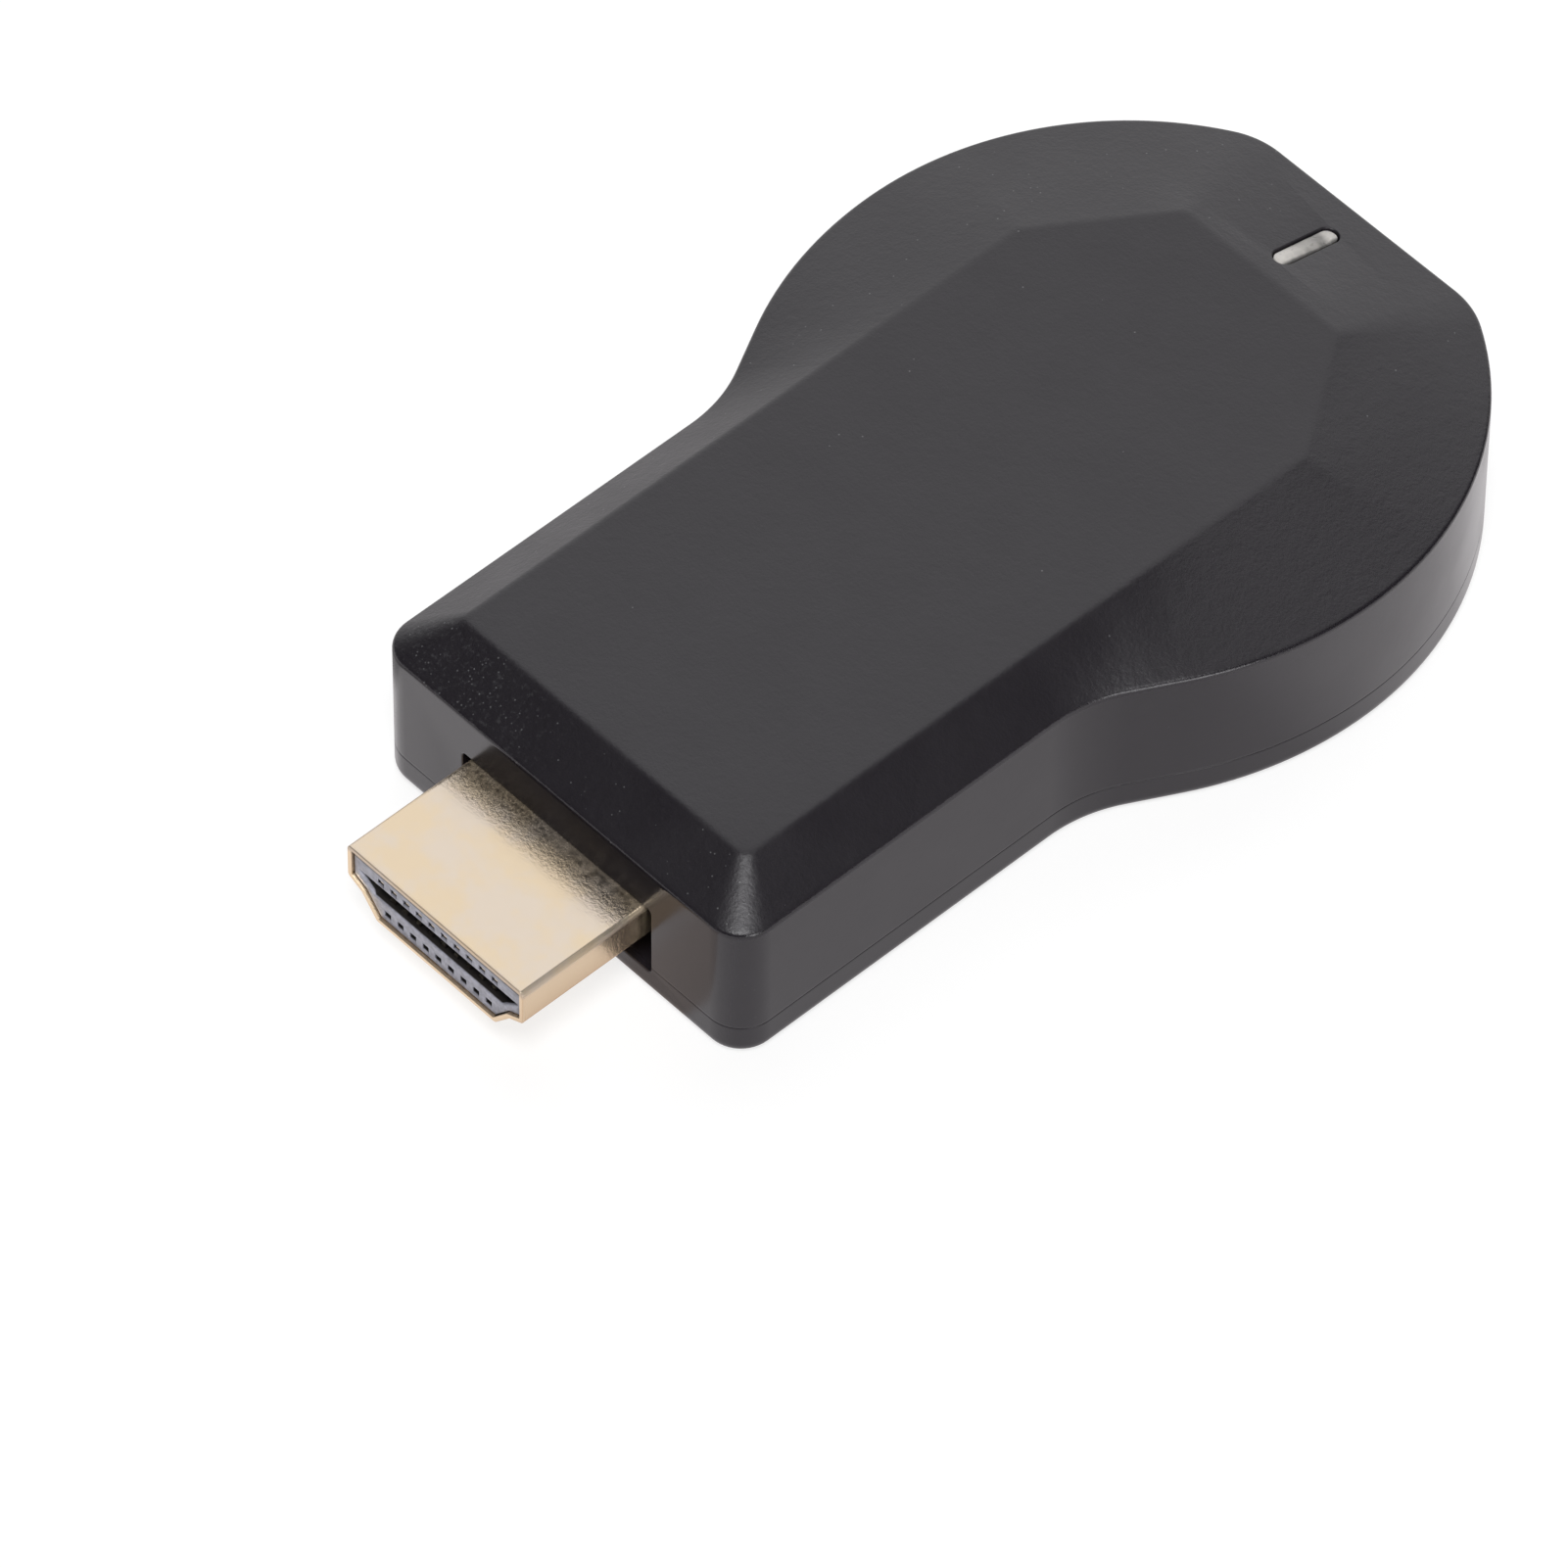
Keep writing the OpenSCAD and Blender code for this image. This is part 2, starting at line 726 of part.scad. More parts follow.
// Row of contacts at a level, bowed to touch in the slot and stepped to the board's surface
module contacts(count, tip, level, touch, tail) {
    front = front_y - plug_out;
    insulator_end = front_y + plug_in - fit_gap;
    tail_start = insulator_end + tail_drop;
    path = [[front + tip, mix(level, touch, -tip_share)], [front + bow_start, level],
        [front + bow_middle, touch], [front + bow_end, level], [insulator_end, level],
        [tail_start, tail], [tail_start + tail_len, tail]];
    color("#c9a66b")
        for (x = spread(count, contact_pitch))
            translate([x, 0, 0])
                across(contact_w)
                    polygon(strip(path, contact_t));
}

module hdmi_contacts_upper() {
    contacts(upper_count, upper_tip, upper_window_z + level_share * window_h,
        tongue_slot_z + tongue_slot_h - bow_gap - contact_t / 2, board_top + contact_t / 2);
}

module hdmi_contacts_lower() {
    contacts(lower_count, lower_tip, lower_window_z + (1 - level_share) * window_h,
        tongue_slot_z + bow_gap + contact_t / 2, board_z - contact_t / 2);
}

// Circuit board and what is on it

module main_board() {
    slot_x = (plug_w - plug_t) / 2;
    color("#1f5a3a") difference() {
        intersection() {
            plate(board_inset, board_z, board_t);
            block([head_w, casing_len, board_t], [0, front_y + board_front + casing_len / 2, board_z]);
        }
        both_sides()
            block([plug_t + 2 * fit_gap, leg_end - leg_start + 2 * fit_gap, board_t + 2 * over],
                [slot_x, front_y + (leg_start + leg_end) / 2, board_z - over]);
        for (pins = [false, true])
            boss_places(pins)
                translate([0, 0, board_z - over])
                    cylinder(r = board_hole_r, h = board_t + 2 * over);
    }
}

// Chip's body with a dot at the corner of its first contact
module chip(size, at) {
    difference() {
        block(size, at);
        translate([at[0] - size[0] / 2 + dot_inset, at[1] + size[1] / 2 - dot_inset,
            at[2] + size[2] - dot_depth])
            cylinder(r = dot_r, h = dot_depth + over);
    }
}

// Row of bent leads along the length on both sides of a body
module leads(body, at, count, pitch) {
    for (turn = [0, 180])
        for (y = spread(count, pitch))
            translate([at[0], at[1] + y, at[2]])
                rotate(turn) {
                    block([lead_out, lead_w, lead_t], [body[0] / 2 + lead_out / 2, 0, 0]);
                    block([lead_t, lead_w, body[2] / 2], [body[0] / 2 + lead_t / 2, 0, 0]);
                }
}

processor_y = on_board(0, processor_share)[1];

module processor() {
    color("#2b2b2e") {
        block(processor_size, [0, processor_y, board_top]);
        chip(processor_cap, [0, processor_y, board_top + processor_size[2]]);
    }
}

module memory_chip() {
    color("#26262a")
        chip(memory_size, on_board(0, memory_share));
}

module flash_chip() {
    at = on_board(flash_x, flash_share);
    color("#2d2d30") {
        chip(flash_size, at);
        leads(flash_size, at, flash_leads, flash_pitch);
    }
}

module regulators() {
    turned = [regulator_size[1], regulator_size[0], regulator_size[2]];
    color("#303033")
        for (share = regulator_shares)
            translate(from_far([share * head_w / 2, regulator_far], board_top))
                rotate(90) {
                    block(turned, [0, 0, 0]);
                    leads(turned, [0, 0, 0], regulator_leads, regulator_pitch);
                }
}

module inductors() {
    x = board_edge - inductor_gap - inductor_size[0] / 2;
    color("#4a4a4c")
        for (share = inductor_shares)
            translate(on_board(x, share)) {
                block([inductor_size[0], inductor_size[1], inductor_base_h], [0, 0, 0]);
                cylinder(d = inductor_size[0], h = inductor_size[2]);
            }
}

module crystal() {
    lid = crystal_size - [2 * crystal_lip, 2 * crystal_lip, 0];
    cap_edge = cap_x + cap_size[0] / 2;
    at = from_far([-(cap_edge + head_edge) / 2, crystal_far], board_top);
    color("#b9b9bb") {
        block([crystal_size[0], crystal_size[1], crystal_base_h], at);
        block(lid, at);
    }
}

module esd_arrays() {
    color("#28282b")
        for (x = spread(esd_count, esd_pitch))
            block(esd_size, on_board(x, esd_share));
}

// Body with a metal end at each side
module capped(size, end, at) {
    block([size[0] - 2 * end, size[1], size[2]], at);
    for (s = [-1, 1])
        block([end, size[1], size[2] - lead_t], at + [s * (size[0] - end) / 2, 0, 0]);
}

module ceramic_capacitors() {
    color("#b08a5e")
        both_sides()
            for (y = spread(cap_count, cap_pitch))
                capped(cap_size, cap_end, [cap_x, processor_y + y, board_top]);
}

module bulk_capacitors() {
    color("#c8962e")
        for (k = [0:bulk_count - 1])
            capped(bulk_size, bulk_end,
                from_far([bulk_inset - head_w / 2, bulk_far + k * bulk_pitch], board_top));
}

module chip_resistors() {
    color("#202022")
        for (x = spread(resistor_count, resistor_pitch))
            block(resistor_size, on_board(x, resistor_share));
}

pad_z = board_top + processor_size[2] + processor_cap[2];

module thermal_pad() {
    color("#9fb4c4")
        block(pad_size, [0, processor_y, pad_z]);
}

module heat_sink() {
    base_z = pad_z + pad_size[2];
    color("#a9abad") {
        block(sink_size, [0, processor_y, base_z]);
        for (x = spread(fin_count, (sink_size[0] - fin_t) / (fin_count - 1)))
            block([fin_t, sink_size[1], sink_size[2] + fin_h], [x, processor_y, base_z]);
    }
}

module board_screws() {
    color("#c4c4c6")
        boss_places(false)
            difference() {
                union() {
                    translate([0, 0, board_z - screw_head_h])
                        cylinder(r = screw_head_r, h = screw_head_h);
                    translate([0, 0, board_z - screw_head_h / 2])
                        cylinder(r = screw_r, h = screw_len);
                }
                for (a = [0, 90])
                    rotate(a)
                        block([cross_len, cross_w, cross_depth + over],
                            [0, 0, board_z - screw_head_h - over]);
            }
}

// Status light

led_x = led_shift - slot_offset;
led_y = far_y - led_far;

module status_led() {
    color("#e8e2c8")
        block(led_size, [led_x, led_y, board_top]);
}

module light_pipe() {
    flange_z = -wall - fit_gap - pipe_flange_t;
    leg_z = board_top + led_size[2] + led_gap;
    leg_top = casing_h - (led_y - far_y + top_far) * tan(slope_angle) + flange_z;
    color("#d9d6d0") {
        on_slope(flange_z)
            linear_extrude(-flange_z - pipe_recess)
                stadium(slot_len - 2 * fit_gap, slot_w - 2 * fit_gap);
        on_slope(flange_z)
            linear_extrude(pipe_flange_t)
                stadium(slot_len + pipe_flange, slot_w + 2 * pipe_flange);
        block([pipe_leg[0], pipe_leg[1], leg_top - leg_z + pipe_flange_t / 2], [led_x, led_y, leg_z]);
    }
}

// Power socket

usb_points = [[-usb_w / 2 + usb_bevel_w, 0], [usb_w / 2 - usb_bevel_w, 0],
    [usb_w / 2, usb_bevel_h], [usb_w / 2, usb_h], [-usb_w / 2, usb_h], [-usb_w / 2, usb_bevel_h]];

module usb_profile(i) {
    translate([-usb_offset, board_top])
        polygon(rounded(inset(usb_points, i), usb_r - i));
}

module usb_shell() {
    color("#c9c9cc") {
        difference() {
            along(usb_back, usb_d)
                usb_profile(0);
            along(usb_back - over, usb_d + 2 * over)
                usb_profile(usb_t);
        }
        translate([-usb_offset, 0, 0])
            both_sides()
                for (s = [0, 1])
                    block([usb_bevel_w + usb_tab[0], usb_tab[1], usb_t],
                        [(usb_w - usb_bevel_w + usb_tab[0]) / 2,
                        usb_back + usb_tab[1] + s * usb_tab_pitch / 2, board_top]);
    }
}

usb_tongue_z = board_top + usb_tongue_lift;

module usb_tongue() {
    color("#1d1d1f") translate([-usb_offset, 0, 0])
        difference() {
            union() {
                translate([usb_offset, 0, 0])
                    along(usb_back, usb_base_d)
                        usb_profile(usb_t + seat_gap);
                along(usb_back + usb_base_d / 2, usb_d - usb_base_d / 2 - usb_tongue_inset)
                    polygon(box_points(usb_tongue_w, usb_tongue_z, usb_tongue_z + usb_tongue_t));
            }
            for (x = spread(usb_count, usb_pitch))
                block([usb_contact_w + 2 * seat_gap, 2 * (usb_base_d + over), usb_cut_h],
                    [x, usb_back, usb_tongue_z - usb_cut_h]);
        }
}

module usb_contacts() {
    level = usb_tongue_z - usb_contact_t / 2;
    tail = board_top + usb_contact_t / 2;
    bend_y = usb_back - usb_tongue_lift;
    path = [[usb_mouth - usb_tongue_inset - fit_gap, level], [usb_back, level],
        [bend_y, tail], [bend_y - usb_tail_len, tail]];
    color("#c9a66b")
        for (x = spread(usb_count, usb_pitch))
            translate([x - usb_offset, 0, 0])
                across(usb_contact_w)
                    polygon(strip(path, usb_contact_t));
}

// Push button and the switch behind it

module along_button(y) {
    translate([button_offset, y, button_z])
        rotate([-90, 0, 0])
            children();
}

module switch_body() {
    inner = switch_size - [2 * cover_t, 0, cover_t];
    color("#2a2a2c") difference() {
        block(inner, [button_offset, switch_front - cover_t - inner[1] / 2, board_top]);
        along_button(switch_front - cover_t - plunger_in - button_travel - fit_gap)
            cylinder(r = plunger_r + fit_gap, h = plunger_in + button_travel + 2 * over);
    }
}

module switch_cover() {
    at = [button_offset, switch_front - switch_size[1] / 2, board_top];
    inner = [switch_size[0] - 2 * cover_t, switch_size[1] + 2 * cover_t, switch_size[2] - cover_t];
    color("#bfc0c2") difference() {
        block(switch_size, at);
        block(inner + [0, 0, over], at - [0, 2 * cover_t, over]);
        along_button(switch_front - cover_t - over)
            cylinder(r = plunger_r + fit_gap, h = cover_t + 2 * over);
    }
}

module switch_plunger() {
    color("#3c3c3e")
        along_button(switch_front - cover_t - plunger_in)
            cylinder(r = plunger_r, h = plunger_in + cover_t + switch_gap);
}

module mode_button() {
    r = button_d / 2;
    len = far_y + button_out - button_back;
    color("#2f2e30")
        along_button(button_back)
            rotate_extrude()
                polygon([[0, 0], [r + flange_out, 0], [r + flange_out, flange_t], [r, flange_t],
                    [r, len - button_bevel], [r - button_bevel, len], [0, len]]);
}

upper_casing();
lower_casing();
hdmi_shell();
hdmi_insulator();
hdmi_contacts_upper();
hdmi_contacts_lower();
main_board();
processor();
memory_chip();
flash_chip();
regulators();
inductors();
crystal();
esd_arrays();
ceramic_capacitors();
bulk_capacitors();
chip_resistors();
thermal_pad();
heat_sink();
status_led();
light_pipe();
usb_shell();
usb_tongue();
usb_contacts();
switch_body();
switch_cover();
switch_plunger();
mode_button();
board_screws();
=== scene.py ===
import math
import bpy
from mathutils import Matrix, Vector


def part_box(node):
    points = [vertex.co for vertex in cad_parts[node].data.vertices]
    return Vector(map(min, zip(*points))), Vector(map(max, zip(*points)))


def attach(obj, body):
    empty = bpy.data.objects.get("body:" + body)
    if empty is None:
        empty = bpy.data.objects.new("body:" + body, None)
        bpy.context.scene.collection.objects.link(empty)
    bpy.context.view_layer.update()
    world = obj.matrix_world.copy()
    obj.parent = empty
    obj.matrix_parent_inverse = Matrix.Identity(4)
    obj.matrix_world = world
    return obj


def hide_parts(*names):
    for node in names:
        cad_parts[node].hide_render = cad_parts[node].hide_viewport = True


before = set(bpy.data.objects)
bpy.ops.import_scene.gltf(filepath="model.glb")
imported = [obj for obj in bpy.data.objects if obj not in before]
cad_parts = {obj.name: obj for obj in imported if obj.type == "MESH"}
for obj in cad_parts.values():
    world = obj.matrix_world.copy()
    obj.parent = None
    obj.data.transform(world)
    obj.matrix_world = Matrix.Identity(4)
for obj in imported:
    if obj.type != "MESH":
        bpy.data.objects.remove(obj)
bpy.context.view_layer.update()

from types import SimpleNamespace

import bmesh
import bpy
from bpy.props import FloatProperty, FloatVectorProperty, IntProperty, PointerProperty
from mathutils import Matrix, Vector

bl_info = {
    "name": "Wireless display dongle",
    "version": (1, 0, 0),
    "blender": (4, 5, 0),
    "location": "View3D > Sidebar > Dongle",
    "description": "Pieces, finishes and studio of a wireless display dongle",
    "category": "Object",
}

# Apart from the settings, which are in metres as a user sees them, lengths are in millimetres.
MM = 0.001
OVER = 0.5                 # overrun of a cut
FIT = 0.05                 # gap round a piece that is pressed into another
ONE_POINT = 1e-7           # distance at which two points become one, in metres
SHARP_TURN = 30            # turn, in degrees, from which an edge shades sharp
FLAT_TURN = 4              # the same beside a large flat face
FLAT_AREA = 8e-6           # least area of such a face, in square metres
ACROSS, ALONG = (1.0, 0.0, 0.0), (0.0, 1.0, 0.0)
FRONTWARD = ((1, 0, 0), (0, 0, 1), (0, -1, 0))
FARWARD = ((-1, 0, 0), (0, 0, 1), (0, 1, 0))


# Settings

def length(name, text, value):
    return FloatProperty(name=name, description=text, default=value, min=0.0, unit="LENGTH",
                         precision=5)


def share(name, text, value):
    return FloatProperty(name=name, description=text, default=value, min=0.0, max=1.0,
                         subtype="FACTOR")


def angle(name, text, degrees, least, most):
    return FloatProperty(name=name, description=text, default=math.radians(degrees), min=least,
                         max=most, unit="ROTATION", subtype="ANGLE")


def number(name, text, value, least=0.0):
    return FloatProperty(name=name, description=text, default=value, min=least)


def amount(name, text, value, least, most):
    return IntProperty(name=name, description=text, default=value, min=least, max=most)


def colour(name, text, value):
    return FloatVectorProperty(name=name, description=text, default=(*value, 1.0), size=4,
                               min=0.0, max=1.0, subtype="COLOR")


class CasingSettings(bpy.types.PropertyGroup):
    """Sizes and finish of the two shells"""
    neck_width: length("Neck width", "Width of the square neck", 0.0287)
    far_width: length("Far edge width", "Width of the straight far edge", 0.0138)
    crown_depth: length("Crown depth", "From the widest place to the far edge", 0.01885)
    far_corner: length("Far corner radius", "Radius of the far corners in plan", 0.0054)
    hollow: length("Hollow radius", "Radius where the neck meets the head", 0.0094)
    shoulder: length("Shoulder radius", "Radius between the hollow and the widest place", 0.0236)
    turn: angle("Turn", "Angle of the outline at the hollow", 28.4, 0.1, 1.2)
    front_corner: length("Front corner radius", "Radius of the front corners in plan", 0.0022)
    side_height: length("Side height", "Height of the sharp edge", 0.010)
    part_height: length("Parting height", "Height of the line where the shells part", 0.0022)
    foot_radius: length("Foot radius", "Rounding along the bottom edge", 0.0008)
    part_gap: length("Parting gap", "Visible gap between the shells", 0.00002)
    part_lip: length("Parting lip", "Rounding of the shells at that gap", 0.00003)
    edge: length("Edge rounding", "Rounding of the sharp edge", 0.00024)
    wall: length("Wall", "Thickness of the shells", 0.0015)
    face_width: length("Face width", "Width of the raised face", 0.0223)
    face_front: length("Face front gap", "From the front wall to the raised face", 0.0034)
    face_far: length("Face far gap", "From the far edge to the raised face", 0.00825)
    face_far_width: length("Face far width", "Width of the raised face's far end", 0.012)
    face_taper: length("Face taper", "Length of the slanted sides", 0.0076)
    face_corner: length("Face corner radius", "Radius of the raised face's corners", 0.0008)
    face_edge: length("Face edge rounding", "Soft rounding round the raised face", 0.00026)
    colour: colour("Colour", "Charcoal of the moulded shells", (0.0140, 0.0119, 0.0153))
    grain: length("Grain size", "Size of the moulded grain", 0.00018)
    grain_depth: length("Grain depth", "Depth of the moulded grain", 0.000014)
    # Painted glints: light flecks in the base colour that stand for the grain catching light
    fleck: colour("Flecks", "Light flecks in the grain", (0.105, 0.105, 0.110))
    fleck_pitch: length("Fleck pitch", "Size of the cells that hold one fleck each", 0.00024)
    gloss_top: share("Top roughness", "Roughness of the top and the slopes", 0.38)
    gloss_side: share("Side roughness", "Roughness of the upright walls", 0.30)


class PlugSettings(bpy.types.PropertyGroup):
    """Sizes and finish of the video plug"""
    metal: length("Metal", "Thickness of the plug's metal", 0.0003)
    corner: length("Corner radius", "Radius of the plug's corners", 0.00032)
    lip: length("Lip rounding", "Rounding of the metal's front lip", 0.00005)
    base_width: length("Base width", "Width of the flat underside", 0.0094)
    slope_width: length("Slope width", "Width between the slopes' outer ends", 0.0117)
    slope_height: length("Slope height", "Height of the slopes' outer ends", 0.0014)
    side_height: length("Side height", "Height of the upright sides", 0.0025)
    slot_width: length("Slot width", "Width of the tongue's slot at its top", 0.0128)
    slot_base_width: length("Slot base width", "Width of the slot at its floor", 0.0101)
    slot_height: length("Slot height", "Height of the tongue's slot", 0.00105)
    slot_lift: length("Slot lift", "From the plug's underside to the slot", 0.00175)
    slot_depth: length("Slot depth", "Depth of the tongue's slot", 0.0065)
    window_width: length("Window width", "Width of a contact's window", 0.00052)
    window_height: length("Window height", "Height of a contact's window", 0.0005)
    pitch: length("Contact pitch", "Distance between contacts of one row", 0.001)
    upper_count: amount("Upper contacts", "Contacts in the upper row", 10, 1, 10)
    lower_count: amount("Lower contacts", "Contacts in the lower row", 9, 1, 9)
    gold: colour("Gold", "Plating of the metal", (0.62, 0.525, 0.42))
    core: colour("Core", "Moulded core", (0.37, 0.37, 0.43))
    # Painted shade: the core's colour where shade falls, in the slot, in the windows and under
    # the metal's lip
    hollow: colour("Hollows", "Core inside the slot and the windows", (0.022, 0.019, 0.018))
    contact: colour("Contacts", "Plating of the contacts", (0.70, 0.60, 0.45))


class LightSettings(bpy.types.PropertyGroup):
    """Sizes and finish of the status light"""
    slot_length: length("Slot length", "Length of the slot along the slope", 0.00485)
    slot_width: length("Slot width", "Width of the slot", 0.0013)
    slot_start: length("Slot start", "From the raised face to the slot", 0.0014)
    slot_offset: length("Slot offset", "From the centre line to the slot", 0.0002)
    recess: length("Recess", "Depth of the pipe's crown below the slope", 0.00002)
    crown: length("Crown", "Rise of the pipe's face to its middle", 0.00008)
    pipe: colour("Pipe", "Milky plastic of the pipe", (0.60, 0.575, 0.545))
    # Painted shade: the pipe's darker colour where shade falls on it
    pipe_shade: colour("Dim pipe", "The pipe where less light comes through", (0.090, 0.086, 0.082))


class SocketSettings(bpy.types.PropertyGroup):
    """Sizes and finish of the power socket and the push button"""
    metal: length("Metal", "Thickness of the socket's metal", 0.00025)
    bevel_width: length("Bevel width", "Width of the socket's slanted corners", 0.00105)
    bevel_height: length("Bevel height", "Height of the slanted corners", 0.0009)
    corner: length("Corner radius", "Radius of the socket's corners", 0.00035)
    gap: length("Gap", "Gap round the socket in the casing", 0.00025)
    pitch: length("Contact pitch", "Distance between the socket's contacts", 0.00065)
    count: amount("Contacts", "Contacts in the socket", 5, 1, 5)
    button_width: length("Button width", "Diameter of the push button", 0.003)
    button_gap: length("Button gap", "Gap round the push button", 0.00015)
    button_dish: length("Button dish", "Depth of the dished face", 0.00012)
    nickel: colour("Socket metal", "Plating of the socket", (0.60, 0.60, 0.61))
    button: colour("Button", "Plastic of the button", (0.020, 0.0195, 0.0205))


class BoardSettings(bpy.types.PropertyGroup):
    """Finish of the circuit board and sizes of what repeats on it"""
    mask: colour("Solder mask", "Green of the board", (0.012, 0.105, 0.045))
    fin_count: amount("Fins", "Fins of the heat sink", 8, 2, 12)
    fin: length("Fin thickness", "Thickness of a fin", 0.0008)
    base: length("Sink base", "Thickness of the heat sink's base", 0.0011)
    sink: colour("Heat sink", "Metal of the heat sink", (0.52, 0.53, 0.54))


class StageSettings(bpy.types.PropertyGroup):
    """Studio round the object"""
    floor: colour("Floor", "Pale floor", (0.80, 0.80, 0.80))
    floor_size: length("Floor size", "Side of the square floor", 8.0)
    key: number("Key light", "Irradiance of the soft key light", 1.9)
    key_angle: angle("Key size", "Angle that the key light fills", 20, 0.0, 1.5)
    sky: number("Soft panel", "Brightness of the panel behind, on the left", 1.25)
    side: number("Side panel", "Brightness of the tall panel on the right", 5.5)
    lens: number("Lens", "Focal length of the camera, in millimetres", 325.85, 1.0)


def settings(name):
    """One group's values, with its lengths in millimetres."""
    group = getattr(bpy.context.scene, "dongle_" + name)
    values = {}
    for key, item in group.bl_rna.properties.items():
        values[key] = getattr(group, key)
        if item.type == "FLOAT" and item.unit == "LENGTH":
            values[key] /= MM
    return SimpleNamespace(**values)


def box_mm(node):
    low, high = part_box(node)
    return low / MM, high / MM


def middle(node):
    return tuple((a + b) / 2 for a, b in zip(*box_mm(node)))


# Points in a plane

def arc(centre, r, start, end, steps):
    turns = [math.radians(start + (end - start) * k / steps) for k in range(steps + 1)]
    return [(centre[0] + r * math.cos(a), centre[1] + r * math.sin(a)) for a in turns]


def quarter(r, steps=3):
    """How far each ring of a rounded edge is drawn in, and how far it lies below the top."""
    turns = [math.radians(90 * k / steps) for k in range(steps + 1)]
    return [(r * (1 - math.cos(a)), r * (1 - math.sin(a))) for a in turns]


def mix(a, b, part):
    return tuple(x + (y - x) * part for x, y in zip(a, b))


def mirrored(half):
    """Closed outline from its right half."""
    return half + [(-x, y) for x, y in reversed(half)]


def guarded(points, guard):
    """Closed outline with points added beside both ends of its long straight sides."""
    out = []
    for p, q in zip(points, points[1:] + points[:1]):
        out.append(p)
        side = math.dist(p, q)
        if side > 3 * guard:
            out += [mix(p, q, guard / side), mix(q, p, guard / side)]
    return out if out[-1] is points[-1] else out[-1:] + out[:-1]


def inset(points, d):
    """Closed outline, whose points run anticlockwise, drawn in by d."""
    out = []
    for before, p, after in zip(points[-1:] + points, points, points[1:] + points[:1]):
        a = (Vector(p) - Vector(before)).normalized()
        b = (Vector(after) - Vector(p)).normalized()
        m, o = Vector((-a.y, a.x)), Vector((-b.y, b.x))
        out.append(tuple(Vector(p) + d * (m + o) / (1 + m.dot(o))))
    return out


def rounded(points, r, steps=6):
    """Closed outline with every corner rounded."""
    out = []
    for before, p, after in zip(points[-1:] + points, points, points[1:] + points[:1]):
        p = Vector(p)
        a = (Vector(before) - p).normalized()
        b = (Vector(after) - p).normalized()
        half = math.acos(max(-1.0, min(1.0, a.dot(b)))) / 2
        centre = p + (a + b).normalized() * r / math.sin(half)
        first = p + a * r / math.tan(half) - centre
        last = p + b * r / math.tan(half) - centre
        start = math.degrees(math.atan2(first.y, first.x))
        sweep = math.degrees(math.atan2(last.y, last.x)) - start
        sweep -= 360 * math.floor((sweep + 180) / 360)
        out += arc(centre, r, start, start + sweep, steps)
    return out


def box_outline(w, low, high):
    return [(w / 2, low), (w / 2, high), (-w / 2, high), (-w / 2, low)]


def round_box(w, low, high, r):
    return guarded(rounded(box_outline(w, low, high), r), 0.1)


def circle(r, steps=48):
    turns = [2 * math.pi * (k + 0.5) / steps for k in range(steps)]
    return [(r * math.sin(a), -r * math.cos(a)) for a in turns]


def stadium(size, w, steps=14):
    half = (size - w) / 2
    right = arc((0, -half), w / 2, -90, 0, steps)[1:] + arc((0, half), w / 2, 0, 90, steps)[:-1]
    return guarded(mirrored(right), 0.1)


# Meshes

def build(name, verts, faces):
    """Object from its points and faces."""
    mesh = bpy.data.meshes.new(name)
    mesh.from_pydata([Vector(v) * MM for v in verts], [], faces)
    piece = bpy.data.objects.new(name, mesh)
    bpy.context.scene.collection.objects.link(piece)
    tidy(piece)
    return piece


def tidy(piece):
    """Turns the faces outward, and marks the edges that shade sharp."""
    bm = bmesh.new()
    bm.from_mesh(piece.data)
    bmesh.ops.remove_doubles(bm, verts=bm.verts, dist=ONE_POINT)
    bmesh.ops.dissolve_degenerate(bm, edges=bm.edges, dist=ONE_POINT / 10)
    bmesh.ops.recalc_face_normals(bm, faces=bm.faces)
    areas = {face: face.calc_area() for face in bm.faces}
    for face in bm.faces:
        face.smooth = True
    for edge in bm.edges:
        turn = math.degrees(edge.calc_face_angle(0.0))
        widest = max((areas[face] for face in edge.link_faces), default=0.0)
        edge.smooth = turn < SHARP_TURN and not (turn > FLAT_TURN and widest > FLAT_AREA)
    bm.to_mesh(piece.data)
    bm.free()


def skin(rings, looped=False):
    """Points and faces through rings of equal count, closed at both ends or joined in a loop."""
    n = len(rings[0])
    verts = [tuple(p) for ring in rings for p in ring]
    faces = []
    for j in range(len(rings) if looped else len(rings) - 1):
        a, b = j * n, ((j + 1) % len(rings)) * n
        faces += [(a + k, a + (k + 1) % n, b + (k + 1) % n, b + k) for k in range(n)]
    if not looped:
        for base in (0, (len(rings) - 1) * n):
            faces += [(base + k, base + k + 1, base + n - 2 - k, base + n - 1 - k)
                      for k in range(n // 2 - 1)]
    return verts, faces


def extruded(profile, low, high, place):
    """Solid of a profile from low to high; place turns three numbers into a point."""
    n = len(profile)
    verts = [place(t, u, v) for t in (low, high) for u, v in profile]
    faces = [tuple(range(n)), tuple(range(n, 2 * n))]
    faces += [(k, (k + 1) % n, (k + 1) % n + n, k + n) for k in range(n)]
    return verts, faces


def joined(parts):
    """One list of points and faces from several."""
    verts, faces = [], []
    for v, f in parts:
        faces += [tuple(i + len(verts) for i in face) for face in f]
        verts += v
    return verts, faces


def placed(part, matrix):
    verts, faces = part
    return [tuple(matrix @ Vector(v)) for v in verts], faces


def standing(part, places):
    """Copies of a part at places in plan."""
    return [placed(part, Matrix.Translation((x, y, 0))) for x, y in places]


def level(outline, z):
    return [(p[0], p[1], z) for p in outline]


def along(outline, y):
    return [(x, y, z) for x, z in outline]


def block(size, at):
    """Block centred in width and length on its place, and standing on it."""
    outline = [(at[0] + s * size[0] / 2, at[1] + t * size[1] / 2)
               for s, t in ((1, -1), (1, 1), (-1, 1), (-1, -1))]
    return skin([level(outline, at[2]), level(outline, at[2] + size[2])])


